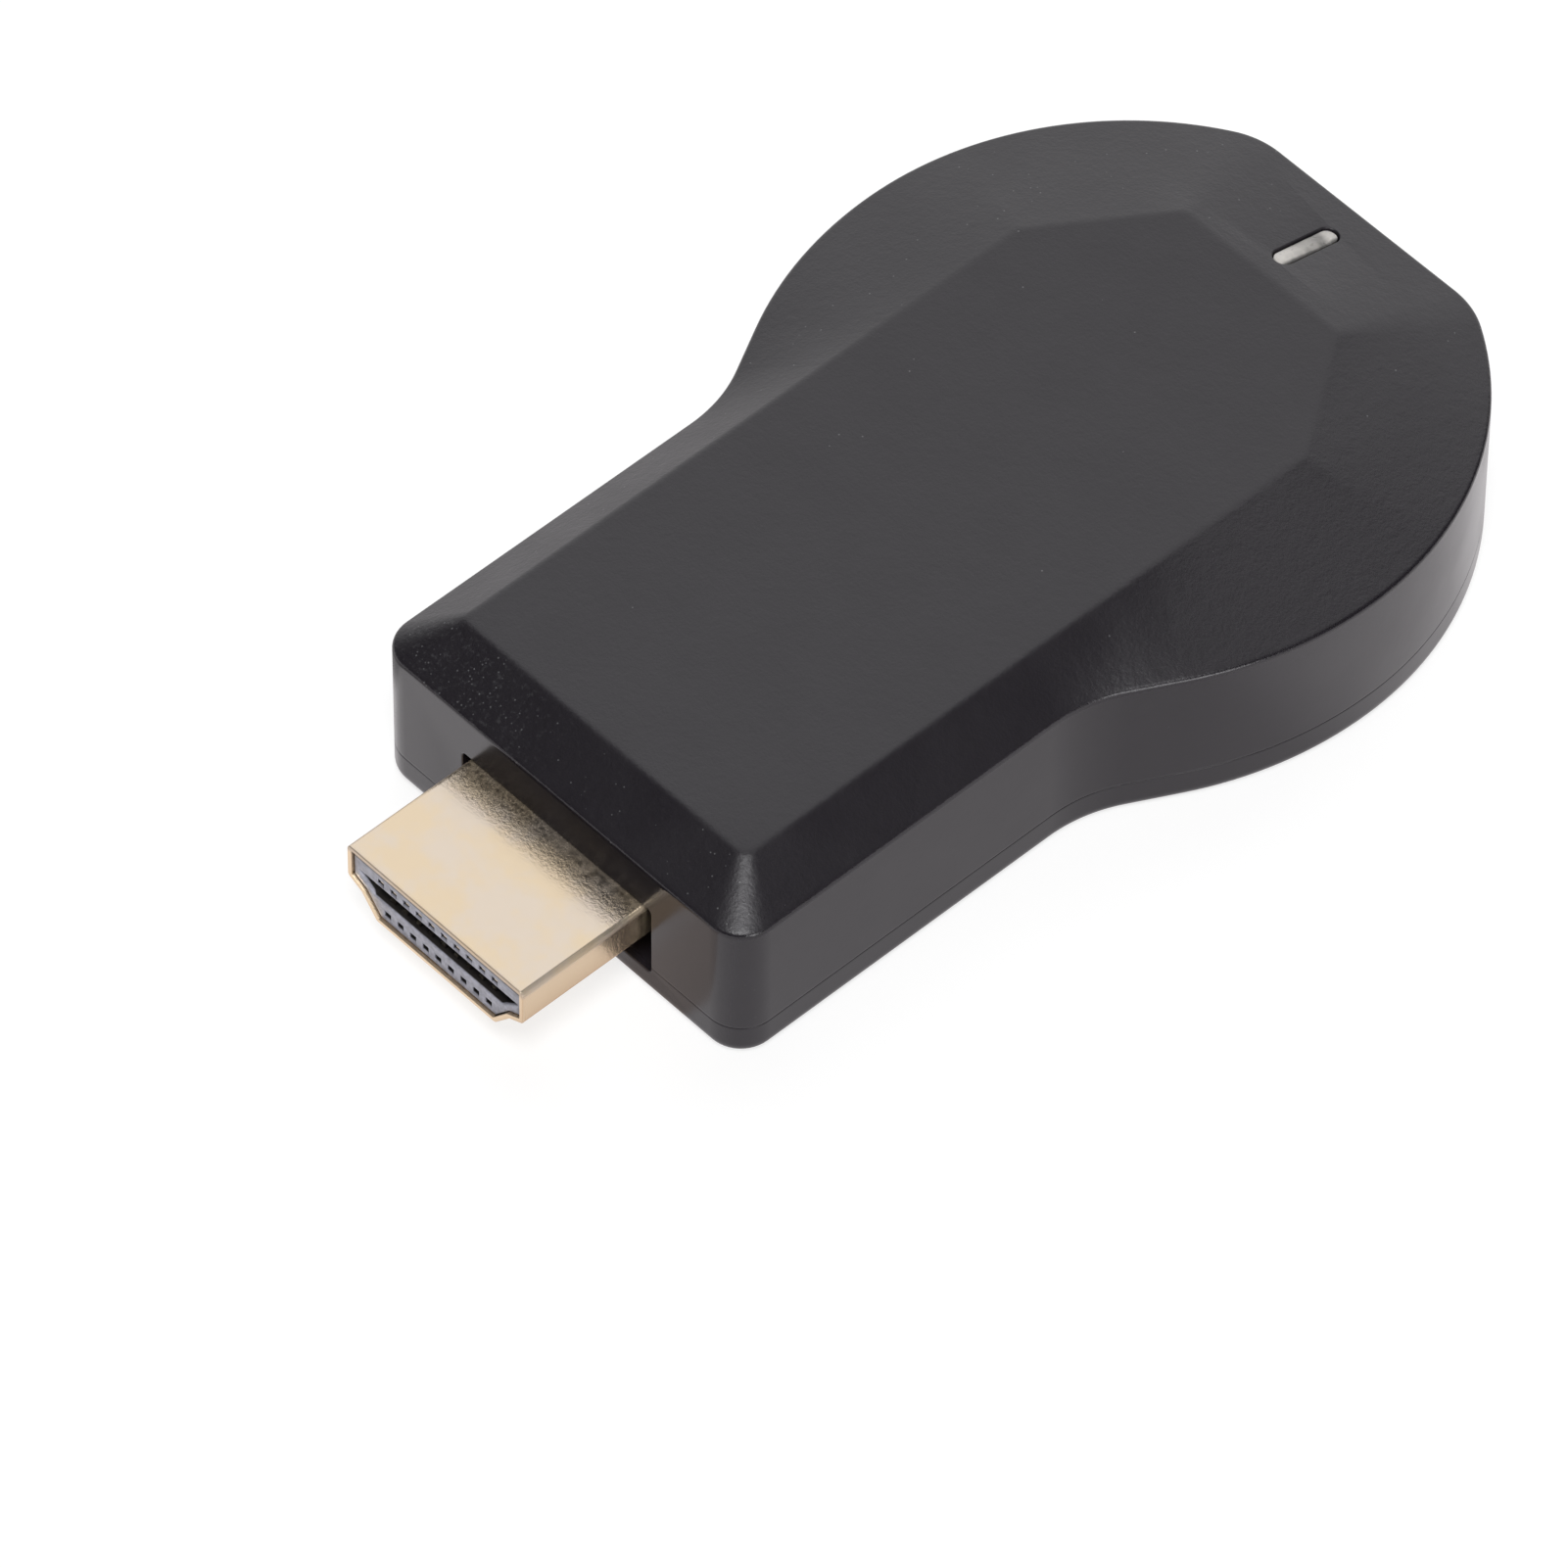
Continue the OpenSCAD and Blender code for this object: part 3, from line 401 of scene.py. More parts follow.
def soft_block(size, at, r=0.08):
    """Block with rounded upright and upper edges."""
    def ring(d, z):
        outline = box_outline(size[0] - 2 * d, d - size[1] / 2, size[1] / 2 - d)
        return [(at[0] + x, at[1] + y, z) for x, y in rounded(outline, r, 3)]

    top = at[2] + size[2]
    return skin([ring(0, at[2])] + [ring(d, top - fall) for d, fall in quarter(r)])


def lathe(profile, steps=48):
    """Solid of revolution about the upright axis from pairs of radius and height."""
    return skin([level(circle(max(r, 0.01), steps), z) for r, z in profile])


def turned(origin, across, up, out):
    """Matrix of a place with its three directions."""
    rows = [(*axis, 0) for axis in (across, up, out)] + [(*origin, 1)]
    return Matrix(rows).transposed()


def flared(outline, depth, lip):
    """Cutter along the third axis that flares to a rounded lip where it leaves the surface."""
    rings = [level(outline(0), -depth)]
    rings += [level(outline(d), -fall) for d, fall in quarter(lip, 4)]
    return skin(rings + [level(outline(lip), OVER)])


def applied(piece):
    """Turns the piece, with its modifiers, into a plain mesh."""
    graph = bpy.context.evaluated_depsgraph_get()
    mesh = bpy.data.meshes.new_from_object(piece.evaluated_get(graph), depsgraph=graph)
    old = piece.data
    piece.modifiers.clear()
    piece.data = mesh
    bpy.data.meshes.remove(old)
    return piece


def carve(piece, tool, operation):
    """Cuts a tool from the piece or adds it, exactly, and removes the tool."""
    change = piece.modifiers.new("change", "BOOLEAN")
    change.object = tool
    change.operation = operation
    change.solver = "EXACT"
    applied(piece)
    bpy.data.objects.remove(tool)


def add_parts(piece, parts):
    carve(piece, build("tool", *joined(parts)), "UNION")
    tidy(piece)


def cut_parts(piece, parts):
    carve(piece, build("tool", *joined(parts)), "DIFFERENCE")
    tidy(piece)


# Nodes

class Value:
    """Output of a node that can be added, subtracted and multiplied."""

    def __init__(self, nodes, socket):
        self.nodes, self.socket = nodes, socket

    def __add__(self, other):
        return self.nodes.math("ADD", self, other)

    def __sub__(self, other):
        return self.nodes.math("SUBTRACT", self, other)

    def __rsub__(self, other):
        return self.nodes.math("SUBTRACT", other, self)

    def __mul__(self, other):
        return self.nodes.math("MULTIPLY", self, other)


class Nodes:
    """Builder of one node tree."""

    def __init__(self, tree):
        self.tree = tree

    def add(self, kind, inputs=None, **values):
        """New node with its properties set, and its inputs by name or number."""
        node = self.tree.nodes.new(kind)
        for name, value in values.items():
            setattr(node, name, value)
        for name, value in (inputs or {}).items():
            self.put(node.inputs[name], value)
        return node

    def put(self, socket, value):
        """Links a value to the socket, or sets the socket's own number or colour."""
        if isinstance(value, Value):
            value = value.socket
        if isinstance(value, bpy.types.NodeSocket):
            self.tree.links.new(value, socket)
        else:
            socket.default_value = (*value[:3], 1.0) if socket.type == "RGBA" else value

    def math(self, operation, a, b=0.0):
        node = self.add("ShaderNodeMath", {0: a, 1: b}, operation=operation)
        return Value(self, node.outputs[0])

    def most(self, a, b):
        return self.math("MAXIMUM", a, b)

    def scaled(self, vector, factor):
        node = self.add("ShaderNodeVectorMath", operation="SCALE")
        self.put(node.inputs[0], vector)
        self.put(node.inputs["Scale"], factor)
        return node.outputs[0]

    def axes(self, vector):
        """The three parts of a vector."""
        node = self.add("ShaderNodeSeparateXYZ", {0: vector})
        return [Value(self, part) for part in node.outputs]

    def span(self, value, low, high, first=0.0, last=1.0, smooth=True):
        """Number that goes from first to last while the value goes from low to high."""
        node = self.add("ShaderNodeMapRange",
                        {"Value": value, "From Min": low, "From Max": high, "To Min": first,
                         "To Max": last}, interpolation_type="SMOOTHSTEP" if smooth else "LINEAR")
        return Value(self, node.outputs["Result"])

    def between(self, part, first, last):
        """Number from first, where the part is 0, to last, where it is 1."""
        return self.span(part, 0.0, 1.0, first, last, smooth=False)

    def blend(self, part, a, b, kind="RGBA"):
        node = self.add("ShaderNodeMix", {"Factor": part, "A": a, "B": b}, data_type=kind)
        return Value(self, node.outputs["Result"])


def row_tree():
    """Node group that repeats its input along a direction and gives it a material."""
    if "row" in bpy.data.node_groups:
        return bpy.data.node_groups["row"]
    tree = bpy.data.node_groups.new("row", "GeometryNodeTree")
    tree.is_modifier = True
    for name, kind in (("Geometry", "Geometry"), ("Count", "Int"), ("Pitch", "Float"),
                       ("Direction", "Vector"), ("Material", "Material")):
        tree.interface.new_socket(name, in_out="INPUT", socket_type="NodeSocket" + kind)
    tree.interface.new_socket("Geometry", in_out="OUTPUT", socket_type="NodeSocketGeometry")
    g = Nodes(tree)
    given = g.add("NodeGroupInput").outputs
    step = g.scaled(given["Direction"], given["Pitch"])
    half = g.math("SUBTRACT", given["Count"], 1.0) * -0.5
    line = g.add("GeometryNodeMeshLine", {"Count": given["Count"], "Offset": step,
                                          "Start Location": g.scaled(step, half)}, mode="OFFSET")
    copies = g.add("GeometryNodeInstanceOnPoints", {"Points": line.outputs["Mesh"],
                                                    "Instance": given["Geometry"]})
    plain = g.add("GeometryNodeRealizeInstances", {"Geometry": copies.outputs["Instances"]})
    paint = g.add("GeometryNodeSetMaterial", {"Geometry": plain.outputs["Geometry"],
                                              "Material": given["Material"]})
    g.add("NodeGroupOutput", {"Geometry": paint.outputs["Geometry"]})
    return tree


def row(piece, count, pitch, direction, material):
    """Repeats the piece, centred on its place."""
    tree = row_tree()
    change = piece.modifiers.new("row", "NODES")
    change.node_group = tree
    values = {"Count": count, "Pitch": pitch * MM, "Direction": direction, "Material": material}
    for item in tree.interface.items_tree:
        if item.in_out == "INPUT" and item.name in values:
            change[item.identifier] = values[item.name]
    piece.data.materials.clear()
    return applied(piece)


def cut_row(piece, part, count, pitch):
    """Cuts a row of like parts from the piece."""
    carve(piece, row(build("tool", *part), count, pitch, ACROSS, None), "DIFFERENCE")


# Finishes

class Paint(Nodes):
    """Builder of one material, on the piece's own coordinates in millimetres."""

    def __init__(self, name, base, roughness=0.5, metallic=0.0):
        self.material = bpy.data.materials.new(name)
        self.material.use_nodes = True
        super().__init__(self.material.node_tree)
        self.shader = self.tree.nodes["Principled BSDF"]
        self.base = base
        self.relief = None
        self.place = self.scaled(self.add("ShaderNodeTexCoord").outputs["Object"], 1 / MM)
        self.x, self.y, self.z = self.axes(self.place)
        self.give("Base Color", base)
        self.give("Roughness", roughness)
        self.give("Metallic", metallic)

    def give(self, name, value):
        self.put(self.shader.inputs[name], value)

    def noise(self, size, detail=2.0, roughness=0.5, stretch=None):
        """Noise with features of a size."""
        place = self.place
        if stretch:
            place = self.add("ShaderNodeMapping", {"Vector": place, "Scale": stretch}).outputs[0]
        node = self.add("ShaderNodeTexNoise", {"Vector": place, "Scale": 1 / size,
                                               "Detail": detail, "Roughness": roughness})
        return Value(self, node.outputs["Fac"])

    def cloud(self, size, first, last, detail=2.0, roughness=0.5):
        """Number that wanders between first and last."""
        return self.span(self.noise(size, detail, roughness), 0.3, 0.7, first, last)

    def shade(self, part, dark, light):
        """Base colour that wanders between two shades of itself."""
        self.give("Base Color", self.blend(part, tint(self.base, dark), tint(self.base, light)))

    def bump(self, height, depth, strength=1.0):
        """Adds relief to what there is."""
        node = self.add("ShaderNodeBump", {"Height": height, "Strength": strength,
                                           "Distance": depth * MM})
        if self.relief:
            self.put(node.inputs["Normal"], self.relief)
        self.relief = node.outputs["Normal"]
        self.give("Normal", self.relief)


def tint(base, red, green=None, blue=None):
    """Colour times one factor, or times one for each of its parts."""
    factors = (red, red, red) if green is None else (red, green, blue)
    return tuple(min(1.0, c * k) for c, k in zip(base[:3], factors))


def casing_finish():
    """Moulded charcoal: grained on top and flecked there with painted glints, smoother on the
    walls and the sharp edge.
    """
    if "charcoal_plastic" in bpy.data.materials:
        return bpy.data.materials["charcoal_plastic"]
    s = settings("casing")
    p = Paint("charcoal_plastic", s.colour, s.gloss_top)
    x, y, z = p.x, p.y, p.z
    ridge, front = s.side_height, box_mm("upper_casing")[0].y
    side = p.span(z, ridge - 0.2, ridge, 1, 0)
    edge = (p.span(z, ridge - 1.3 * s.edge, ridge - s.edge)
            * p.span(z, ridge, ridge + 0.06, 1, 0))
    # Painted glints: light flecks and a light mottle in the base colour stand for the grain
    # catching light, and gather at the left of the front slope
    glint_patch = (p.span(x, -6.5, -0.5, 1, 0.15) * p.span(y, front + 3.2, front + 4.2, 1, 0.08)
            * p.span(z, ridge + 1.7, ridge + 2.1, 1, 0.1))
    cell = p.add("ShaderNodeTexVoronoi", {"Vector": p.place, "Scale": 1 / s.fleck_pitch}).outputs
    chance = p.add("ShaderNodeSeparateColor", {0: cell["Color"]}).outputs[0]
    chosen = p.math("LESS_THAN", chance, p.span(p.noise(2.5), 0.40, 0.60, 0.10, 0.50) * glint_patch)
    dots = chosen * p.span(cell["Distance"], 0.12, 0.28, 1, 0)
    mottle = p.span(p.noise(0.26, 3, 0.65), 0.54, 0.70, 0, 0.26) * glint_patch
    flecks = p.most(dots, mottle) * p.between(side, 1, 0.2)
    plain = p.blend(p.noise(1.2, 3), tint(s.colour, 0.9), tint(s.colour, 1.1))
    p.give("Base Color", p.blend(flecks, plain, s.fleck))
    p.give("Specular Tint", (0.985, 0.978, 1.0))
    # Duller over the far right of the slopes, smoother at the front wall and on the sharp edge
    dull = p.span(x - y, 29, 32, 0, 0.05) * p.span(z, ridge, ridge + 0.3)
    smooth = side * p.span(y, front + 0.1, front + 0.6, 0.07, 0) + edge * 0.12
    rough = p.between(side, s.gloss_top, s.gloss_side) + p.cloud(4, -0.02, 0.02)
    p.give("Roughness", rough + dull - smooth)
    weight = p.between(side, 1, 0.12)
    p.bump(p.noise(3.2 * s.grain, 3, 0.6), 1.7 * s.grain_depth, weight)
    p.bump(p.noise(s.grain, 2, 0.6), s.grain_depth, weight)
    return p.material


def gold_finish(wall, top):
    """Bright plating with clouds, with a painted brighter, yellower reflection on its flanks,
    dull and mottled beside the casing.
    """
    gold, gloss, lean = settings("plug").gold, 0.22, 0.07
    p = Paint("gold_plating", gold, gloss, 1.0)
    x, y, z = p.x, p.y, p.z
    lip = box_mm("hdmi_shell")[0].y
    clouds = p.blend(p.span(p.noise(3, 4, 0.6), 0.36, 0.64), tint(gold, 0.985, 1.0, 1.04),
                     tint(gold, 1.025, 0.99, 0.90))
    # Painted reflection: the flanks get a brighter, yellower copy of the plating
    side = p.span(z, top - 0.6, top - 0.2, 1, 0)
    p.give("Base Color", p.blend(side, clouds, tint(gold, 1.24, 1.17, 1.02)))
    # Specks grow coarser to the right, and end in an even line at the wall
    fine, coarse = p.noise(0.20, 3, 0.7), p.noise(0.55, 4, 0.65)
    right = p.span(x, -2, 3)
    specks = fine * (1.0 - right) + coarse * right
    root = p.span(y - x * lean, wall - 1.9, wall - 0.9) * p.span(specks, 0.34, 0.64, 0.20, 1)
    root = p.most(root, p.span(y, wall - 0.22, wall - 0.10, 0, 0.60)) * p.between(side, 1, 0.4)
    p.give("Metallic", p.between(root, 1, 0.70))
    # Duller along the upper bends and at the lip
    bend = (p.span(z, top - 0.40, top - 0.30) * p.span(z, top - 0.04, top - 0.01, 1, 0)
            * p.span(y, lip + 4, wall - 1, 0.34, 0.16))
    dull = p.most(bend, p.span(y, lip + 0.05, lip + 0.15, 0.20, 0))
    p.give("Roughness", dull + p.cloud(0.7, gloss - 0.008, gloss + 0.012, 4))
    relief = p.span(y, wall - 3.4, wall - 1.4, 0.10, 1)
    p.bump(p.noise(0.7, 3, 0.6), 0.005, relief)
    p.bump(fine, 0.026, relief)
    return p.material


def core_finish(face, top):
    """Moulded plastic, with painted shade under the metal's lip, in the slot and in the windows.
    """
    s = settings("plug")
    p = Paint("core_plastic", s.core, 0.38)
    front = p.blend(p.cloud(0.35, 0, 1, 3, 0.65), tint(s.core, 0.78), tint(s.core, 1.22))
    # Painted shadow: a dark line on the core under the metal's lip
    front = p.blend(p.span(p.z, top - 0.80, top - 0.72, 0, 0.75), front, s.hollow)
    # The painted shade starts deeper at the slot's ends and on the floors of the upper windows
    half = s.slot_base_width / 2
    end = p.span(p.math("ABSOLUTE", p.x), half - 0.1, half + 0.2, 0, 0.12)
    upright = p.axes(p.add("ShaderNodeTexCoord").outputs["Normal"])[2]
    windows = p.math("GREATER_THAN", p.z, slot_levels()[1] + 0.05)
    start = end + p.span(upright, 0.5, 0.8, 0, 0.08) * windows
    # Painted shade: darker with depth inside the slot and the windows
    depth = p.span(p.y - start, face + 0.03, face + 0.12)
    p.give("Base Color", p.blend(depth, front, s.hollow))
    p.give("Roughness", p.cloud(0.5, 0.33, 0.44))
    p.bump(p.noise(0.12), 0.003)
    return p.material


def pipe_finish(near, run):
    """Milky plastic with painted shade along the slot, from its near end on, and to its right."""
    s = settings("light")
    p = Paint("milky_plastic", s.pipe, 0.32)
    # Painted shade: darker along the slot, lighter again near its far end, and darker to its
    # right
    painted_shade = (p.span(p.y, near + 0.10 * run, near + 0.70 * run, 0.05, 0.75)
           + p.span(p.y, near + 0.74 * run, near + 0.88 * run, 0, -0.70))
    painted_shade = p.most(painted_shade, p.span(p.x, 0.02, 0.30)) + p.cloud(0.9, -0.15, 0.15, 3)
    p.give("Base Color", p.blend(painted_shade, s.pipe, s.pipe_shade))
    p.give("Roughness", p.cloud(0.6, 0.26, 0.38, 3))
    p.bump(p.noise(0.3), 0.003)
    p.give("Subsurface Weight", 0.4)
    p.give("Subsurface Radius", [depth * MM for depth in (0.6, 0.6, 0.5)])
    p.give("Subsurface Scale", 1.0)
    return p.material


def plastic_finish(name, base, roughness, grain=0.12, depth=0.003):
    p = Paint(name, base, roughness)
    p.shade(p.noise(8 * grain, 3), 0.9, 1.1)
    p.give("Roughness", p.cloud(4 * grain, roughness - 0.06, roughness + 0.06))
    p.bump(p.noise(grain), depth)
    return p.material


def metal_finish(name, base, roughness, stretch=None):
    """Plain metal with fine rolling lines along its stretch."""
    p = Paint(name, base, roughness, 1.0)
    lines = p.noise(0.12, 3, 0.6, stretch)
    p.shade(lines, 0.9, 1.06)
    p.give("Roughness", p.span(lines, 0.3, 0.7, roughness - 0.06, roughness + 0.08))
    p.bump(lines, 0.0025)
    return p.material


def capped_finish(name, base):
    """Chip body with tinned ends, told apart by the piece's own attribute."""
    p = Paint(name, base, 0.45)
    ends = p.add("ShaderNodeAttribute", attribute_name="tinned").outputs["Fac"]
    p.give("Base Color", p.blend(ends, base, (0.62, 0.62, 0.60)))
    p.give("Metallic", ends)
    p.give("Roughness", p.cloud(0.2, 0.36, 0.52, 3))
    p.bump(p.noise(0.1), 0.003)
    return p.material


def board_finish():
    """Green solder mask over copper tracks, with bare glass fibre at the cut edges."""
    mask = settings("board").mask
    p = Paint("green_board", mask, 0.34)
    tracks = p.add("ShaderNodeTexBrick", {
        "Vector": p.place, "Scale": 1 / 4, "Mortar Size": 0.035, "Mortar Smooth": 0.2,
        "Brick Width": 0.7, "Row Height": 0.22}).outputs["Fac"]
    upright = p.axes(p.add("ShaderNodeTexCoord").outputs["Normal"])[2]
    flat = p.math("GREATER_THAN", p.math("ABSOLUTE", upright), 0.5)
    fibre = p.blend(p.noise(0.2, 3), (0.30, 0.27, 0.13), (0.42, 0.38, 0.20))
    p.give("Base Color", p.blend(flat, fibre, p.blend(tracks, mask, tint(mask, 1.7))))
    p.give("Roughness", p.cloud(0.6, 0.28, 0.42, 3))
    p.bump(tracks, 0.02)
    return p.material


def keep(piece, node, material=None, body="casing"):
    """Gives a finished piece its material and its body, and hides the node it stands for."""
    if material:
        piece.data.materials.clear()
        piece.data.materials.append(material)
    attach(piece, body)
    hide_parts(node)


def dress(node, material):
    """Gives a node of the frame its finish."""
    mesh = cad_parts[node].data
    mesh.materials.clear()
    mesh.materials.append(material)


# Casing

GUARD = 0.12               # from the end of a long straight side to the point beside it
TIGHT = 0.3                # least radius of the front corners when drawn in
CLIP_GAP = 0.1             # gap between the lower shell's rim and the upper shell
PLUG_ROOM = (0.5, 0.7, 0.1)            # room beside, under and over the plug in its opening
PLUG_CUT = (3, 0.1)        # depth of an opening's cutter, and the rounding of its lip
FAR_CUT = (2, 0.12)
SLOT_CUT = (3, 0.08)
BEAD, BEAD_ROOT = 0.3, 0.4             # half height of a snap bead, and its reach into the rim
BEAD_LIFT = 0.55           # from the parting line to the middle of a bead
RIB_OUTER = (13.8, 10.1, 26.9)         # width of the ceiling's rib, and both ends in length
RIB_INNER = (12.2, 10.9, 26.1)
BOSS, PIN, PIN_TIP, BORE = 1.8, 0.75, 0.45, 0.65              # radii
BORE_DEPTH = 4.4           # from the board's top
PIN_REACH = 0.3            # how far a pin's tip comes through the board
POST, POST_TOP = 1.4, 1.25             # radii of the posts under the board
NECK_POST = 15             # from the front wall
HEAD_POST = (10.5, 8)      # from the centre line and from the far edge
FLOOR_TOP = 1.5            # height of the lower shell's floor
FLOOR_RIB = (15, 0.8, 0.9)             # width, thickness and height
FLOOR_RIB_PLACES = (19, 26, 33)        # from the front wall
OVER_PLUG = (11, 1.55, 1.525)          # width, length and middle of the block over the plug
UNDER_PLUG = (8, 2.3)      # width and length of the block that carries the plug


class Outline:
    """The casing's outline and that of its raised face, point for point."""
    corner, taper, flank, swell, hollow, front = 10, 24, 8, 16, 16, 12    # steps of its parts

    def __init__(self):
        s = self.s = settings("casing")
        low, high = box_mm("upper_casing")
        self.front_y, self.far_y, self.top = low.y, high.y, high.z
        parting = (low.z + s.part_height) / 2
        self.foot_z = parting + s.part_gap / 2
        self.part_z = parting - s.part_gap / 2
        self.head = high.x - low.x
        self.wide_y = self.far_y - s.crown_depth
        self.turn = math.degrees(s.turn)
        bends = s.hollow + s.shoulder
        step = (self.head - s.neck_width) / 2
        slant = (step - bends * (1 - math.cos(s.turn))) / math.sin(s.turn)
        self.hollow_y = self.wide_y - bends * math.sin(s.turn) - slant * math.cos(s.turn)
        corner = s.far_corner
        dx = (s.far_width - self.head) / 2
        dy = s.crown_depth - corner
        self.crown = (dx * dx + dy * dy - corner * corner) / (-2 * (dx + corner))
        self.crown_x = self.head / 2 - self.crown
        self.crown_turn = math.degrees(math.atan2(dy, s.far_width / 2 - self.crown_x))
        self.reference = self.plan_half(0)

    def plan_half(self, i):
        """Right half of the casing's outline, drawn in by i, from the far edge to the front."""
        s = self.s
        r = max(s.front_corner - i, TIGHT)
        neck = s.neck_width / 2
        return (arc((s.far_width / 2, self.far_y - s.far_corner), s.far_corner - i, 90,
                    self.crown_turn, self.corner)
                + arc((self.crown_x, self.wide_y), self.crown - i, self.crown_turn, 0,
                      self.taper + self.flank)[1:]
                + arc((self.head / 2 - s.shoulder, self.wide_y), s.shoulder - i, 0, -self.turn,
                      self.swell)[1:]
                + arc((neck + s.hollow, self.hollow_y), s.hollow + i, 180 - self.turn, 180,
                      self.hollow)
                + arc((neck - i - r, self.front_y + i + r), r, 0, -90, self.front))

    def crest_half(self, j):
        """Right half of the raised face's outline, drawn in by j."""
        s = self.s
        outer = self.reference
        r = s.face_corner
        side = s.face_width / 2 - j
        far_y = self.far_y - s.face_far
        slant = math.atan2((s.face_width - s.face_far_width) / 2, s.face_taper)
        far_corner = (s.face_far_width / 2 - (j + r) * (1 - math.sin(slant)) / math.cos(slant),
                      far_y - (j + r))
        side_corner = (side, far_y - s.face_taper - j * (1 - math.cos(slant)) / math.sin(slant))
        start = (far_corner[0] + r * math.cos(slant), far_corner[1] + r * math.sin(slant))

        def foot(p, turn):
            return (side, p[1] + (p[0] - s.face_width / 2) * math.tan(math.radians(turn)))

        first_swell = self.corner + 1 + self.taper + self.flank
        first_hollow = first_swell + self.swell
        return (arc(far_corner, r, 90, math.degrees(slant), self.corner)
                + [mix(start, side_corner, k / self.taper) for k in range(1, self.taper + 1)]
                + [mix(side_corner, (side, self.wide_y), k / self.flank)
                   for k in range(1, self.flank + 1)]
                + [foot(outer[first_swell + k - 1], self.turn * k / self.swell)
                   for k in range(1, self.swell + 1)]
                + [foot(outer[first_hollow + k], self.turn * (1 - k / self.hollow))
                   for k in range(self.hollow + 1)]
                + arc((side - r, self.front_y + s.face_front + j + r), r, 0, -90, self.front))

    def closed(self, half):
        """Whole outline, with guard points beside the ends of its straight sides."""
        ref = self.reference
        after_swell = self.corner + self.taper + self.flank + self.swell
        spans = (after_swell, after_swell + 1 + self.hollow)
        out = [mix(half[0], (-half[0][0], half[0][1]), GUARD / (2 * ref[0][0]))]
        for k, p in enumerate(half):
            out.append(p)
            if k in spans:
                near = GUARD / math.dist(ref[k], ref[k + 1])
                out += [mix(p, half[k + 1], near), mix(half[k + 1], p, near)]
        last = half[-1]
        out.append(mix(last, (-last[0], last[1]), GUARD / (2 * ref[-1][0])))
        return mirrored(out)

    def plan(self, i, z):
        return level(self.closed(self.plan_half(i)), z)

    def crest(self, j, z):
        return level(self.closed(self.crest_half(j)), z)


def toward(a, b, d):
    """Ring b moved by d towards ring a."""
    return [mix(q, p, d / math.dist(p, q)) for p, q in zip(a, b)]


def curved(a, b, c, steps=6):
    """Rings of a smooth rounding from a to c, drawn to b."""
    out = []
    for t in (k / steps for k in range(steps + 1)):
        out.append([tuple((1 - t) ** 2 * x + 2 * t * (1 - t) * y + t * t * z
                          for x, y, z in zip(p, q, r)) for p, q, r in zip(a, b, c)])
    return out


def outer_rings(o, slope=8):
    """Rings of the upper shell's outer skin, from its foot to the raised face."""
    s = o.s
    rings = [o.plan(fall, o.foot_z + d) for d, fall in quarter(s.part_lip)]
    rings += [o.plan(0, z) for z in (o.foot_z + s.part_lip + GUARD,
                                     s.side_height - s.edge - GUARD)]
    sharp, peak = o.plan(0, s.side_height), o.crest(0, o.top)
    rings += curved(o.plan(0, s.side_height - s.edge), sharp, toward(peak, sharp, s.edge))
    low = toward(peak, sharp, s.edge + GUARD)
    high = toward(sharp, peak, s.face_edge + GUARD)
    rings += [[mix(p, q, k / slope) for p, q in zip(low, high)] for k in range(slope + 1)]
    rings += curved(toward(sharp, peak, s.face_edge), peak, o.crest(s.face_edge, o.top), 8)
    return rings + [o.crest(s.face_edge + 2 * GUARD, o.top)]


SOCKET_FIT = 0.02          # gap round the tongue's base in the socket's metal


def socket_box():
    """Middle, floor, width and height of the socket's metal, without its tabs."""
    low, high = box_mm("usb_shell")
    left, right = (corner.x for corner in box_mm("usb_tongue"))
    width = right - left + 2 * settings("socket").metal + 2 * SOCKET_FIT
    return (left + right) / 2, low.z, width, high.z - low.z


def slope_frame(o):
    """Angle of the far slope, and the frame at the middle of the light's slot."""
    s = settings("light")
    fall = math.atan2(o.top - o.s.side_height, o.s.face_far)
    down = Vector((0, math.cos(fall), -math.sin(fall)))
    out = Vector((0, math.sin(fall), math.cos(fall)))
    start = Vector((-s.slot_offset, o.far_y - o.s.face_far, o.top))
    return fall, turned(start + down * (s.slot_start + s.slot_length / 2), (1, 0, 0), down, out)


def openings(o):
    """Cutters of the plug's opening, the socket's and the button's, and of the light's slot."""
    s, light = settings("socket"), settings("light")
    low, high = box_mm("hdmi_shell")
    beside, under, over = PLUG_ROOM
    width, low_z, high_z = high.x - low.x + 2 * beside, low.z - under, high.z + over
    plug = flared(lambda g: round_box(width + 2 * g, low_z - g, high_z + g, 0.3 + g), *PLUG_CUT)
    x, floor_z, w, h = socket_box()
    socket = flared(lambda g: round_box(w + 2 * (s.gap + g), -s.gap - g, h + s.gap + g,
                                        s.corner + g), *FAR_CUT)
    hole = s.button_width / 2 + s.button_gap
    button = flared(lambda g: circle(hole + g), *FAR_CUT)
    slot = flared(lambda g: stadium(light.slot_length + 2 * g, light.slot_width + 2 * g),
                  *SLOT_CUT)
    button_x, _, button_z = middle("mode_button")
    return (placed(plug, turned((0, o.front_y, 0), *FRONTWARD)),
            placed(socket, turned((x, o.far_y, floor_z), *FARWARD)),
            placed(button, turned((button_x, o.far_y, button_z), *FARWARD)),
            placed(slot, slope_frame(o)[1]))


def boss_places(head=1.5):
    """Places of the bosses with screws, read from the screws' heads, and of those with pins."""
    low, high = box_mm("board_screws")
    screws = [(low.x + head, low.y + head), (high.x - head, high.y - head)]
    return screws, [(-x, y) for x, y in screws]


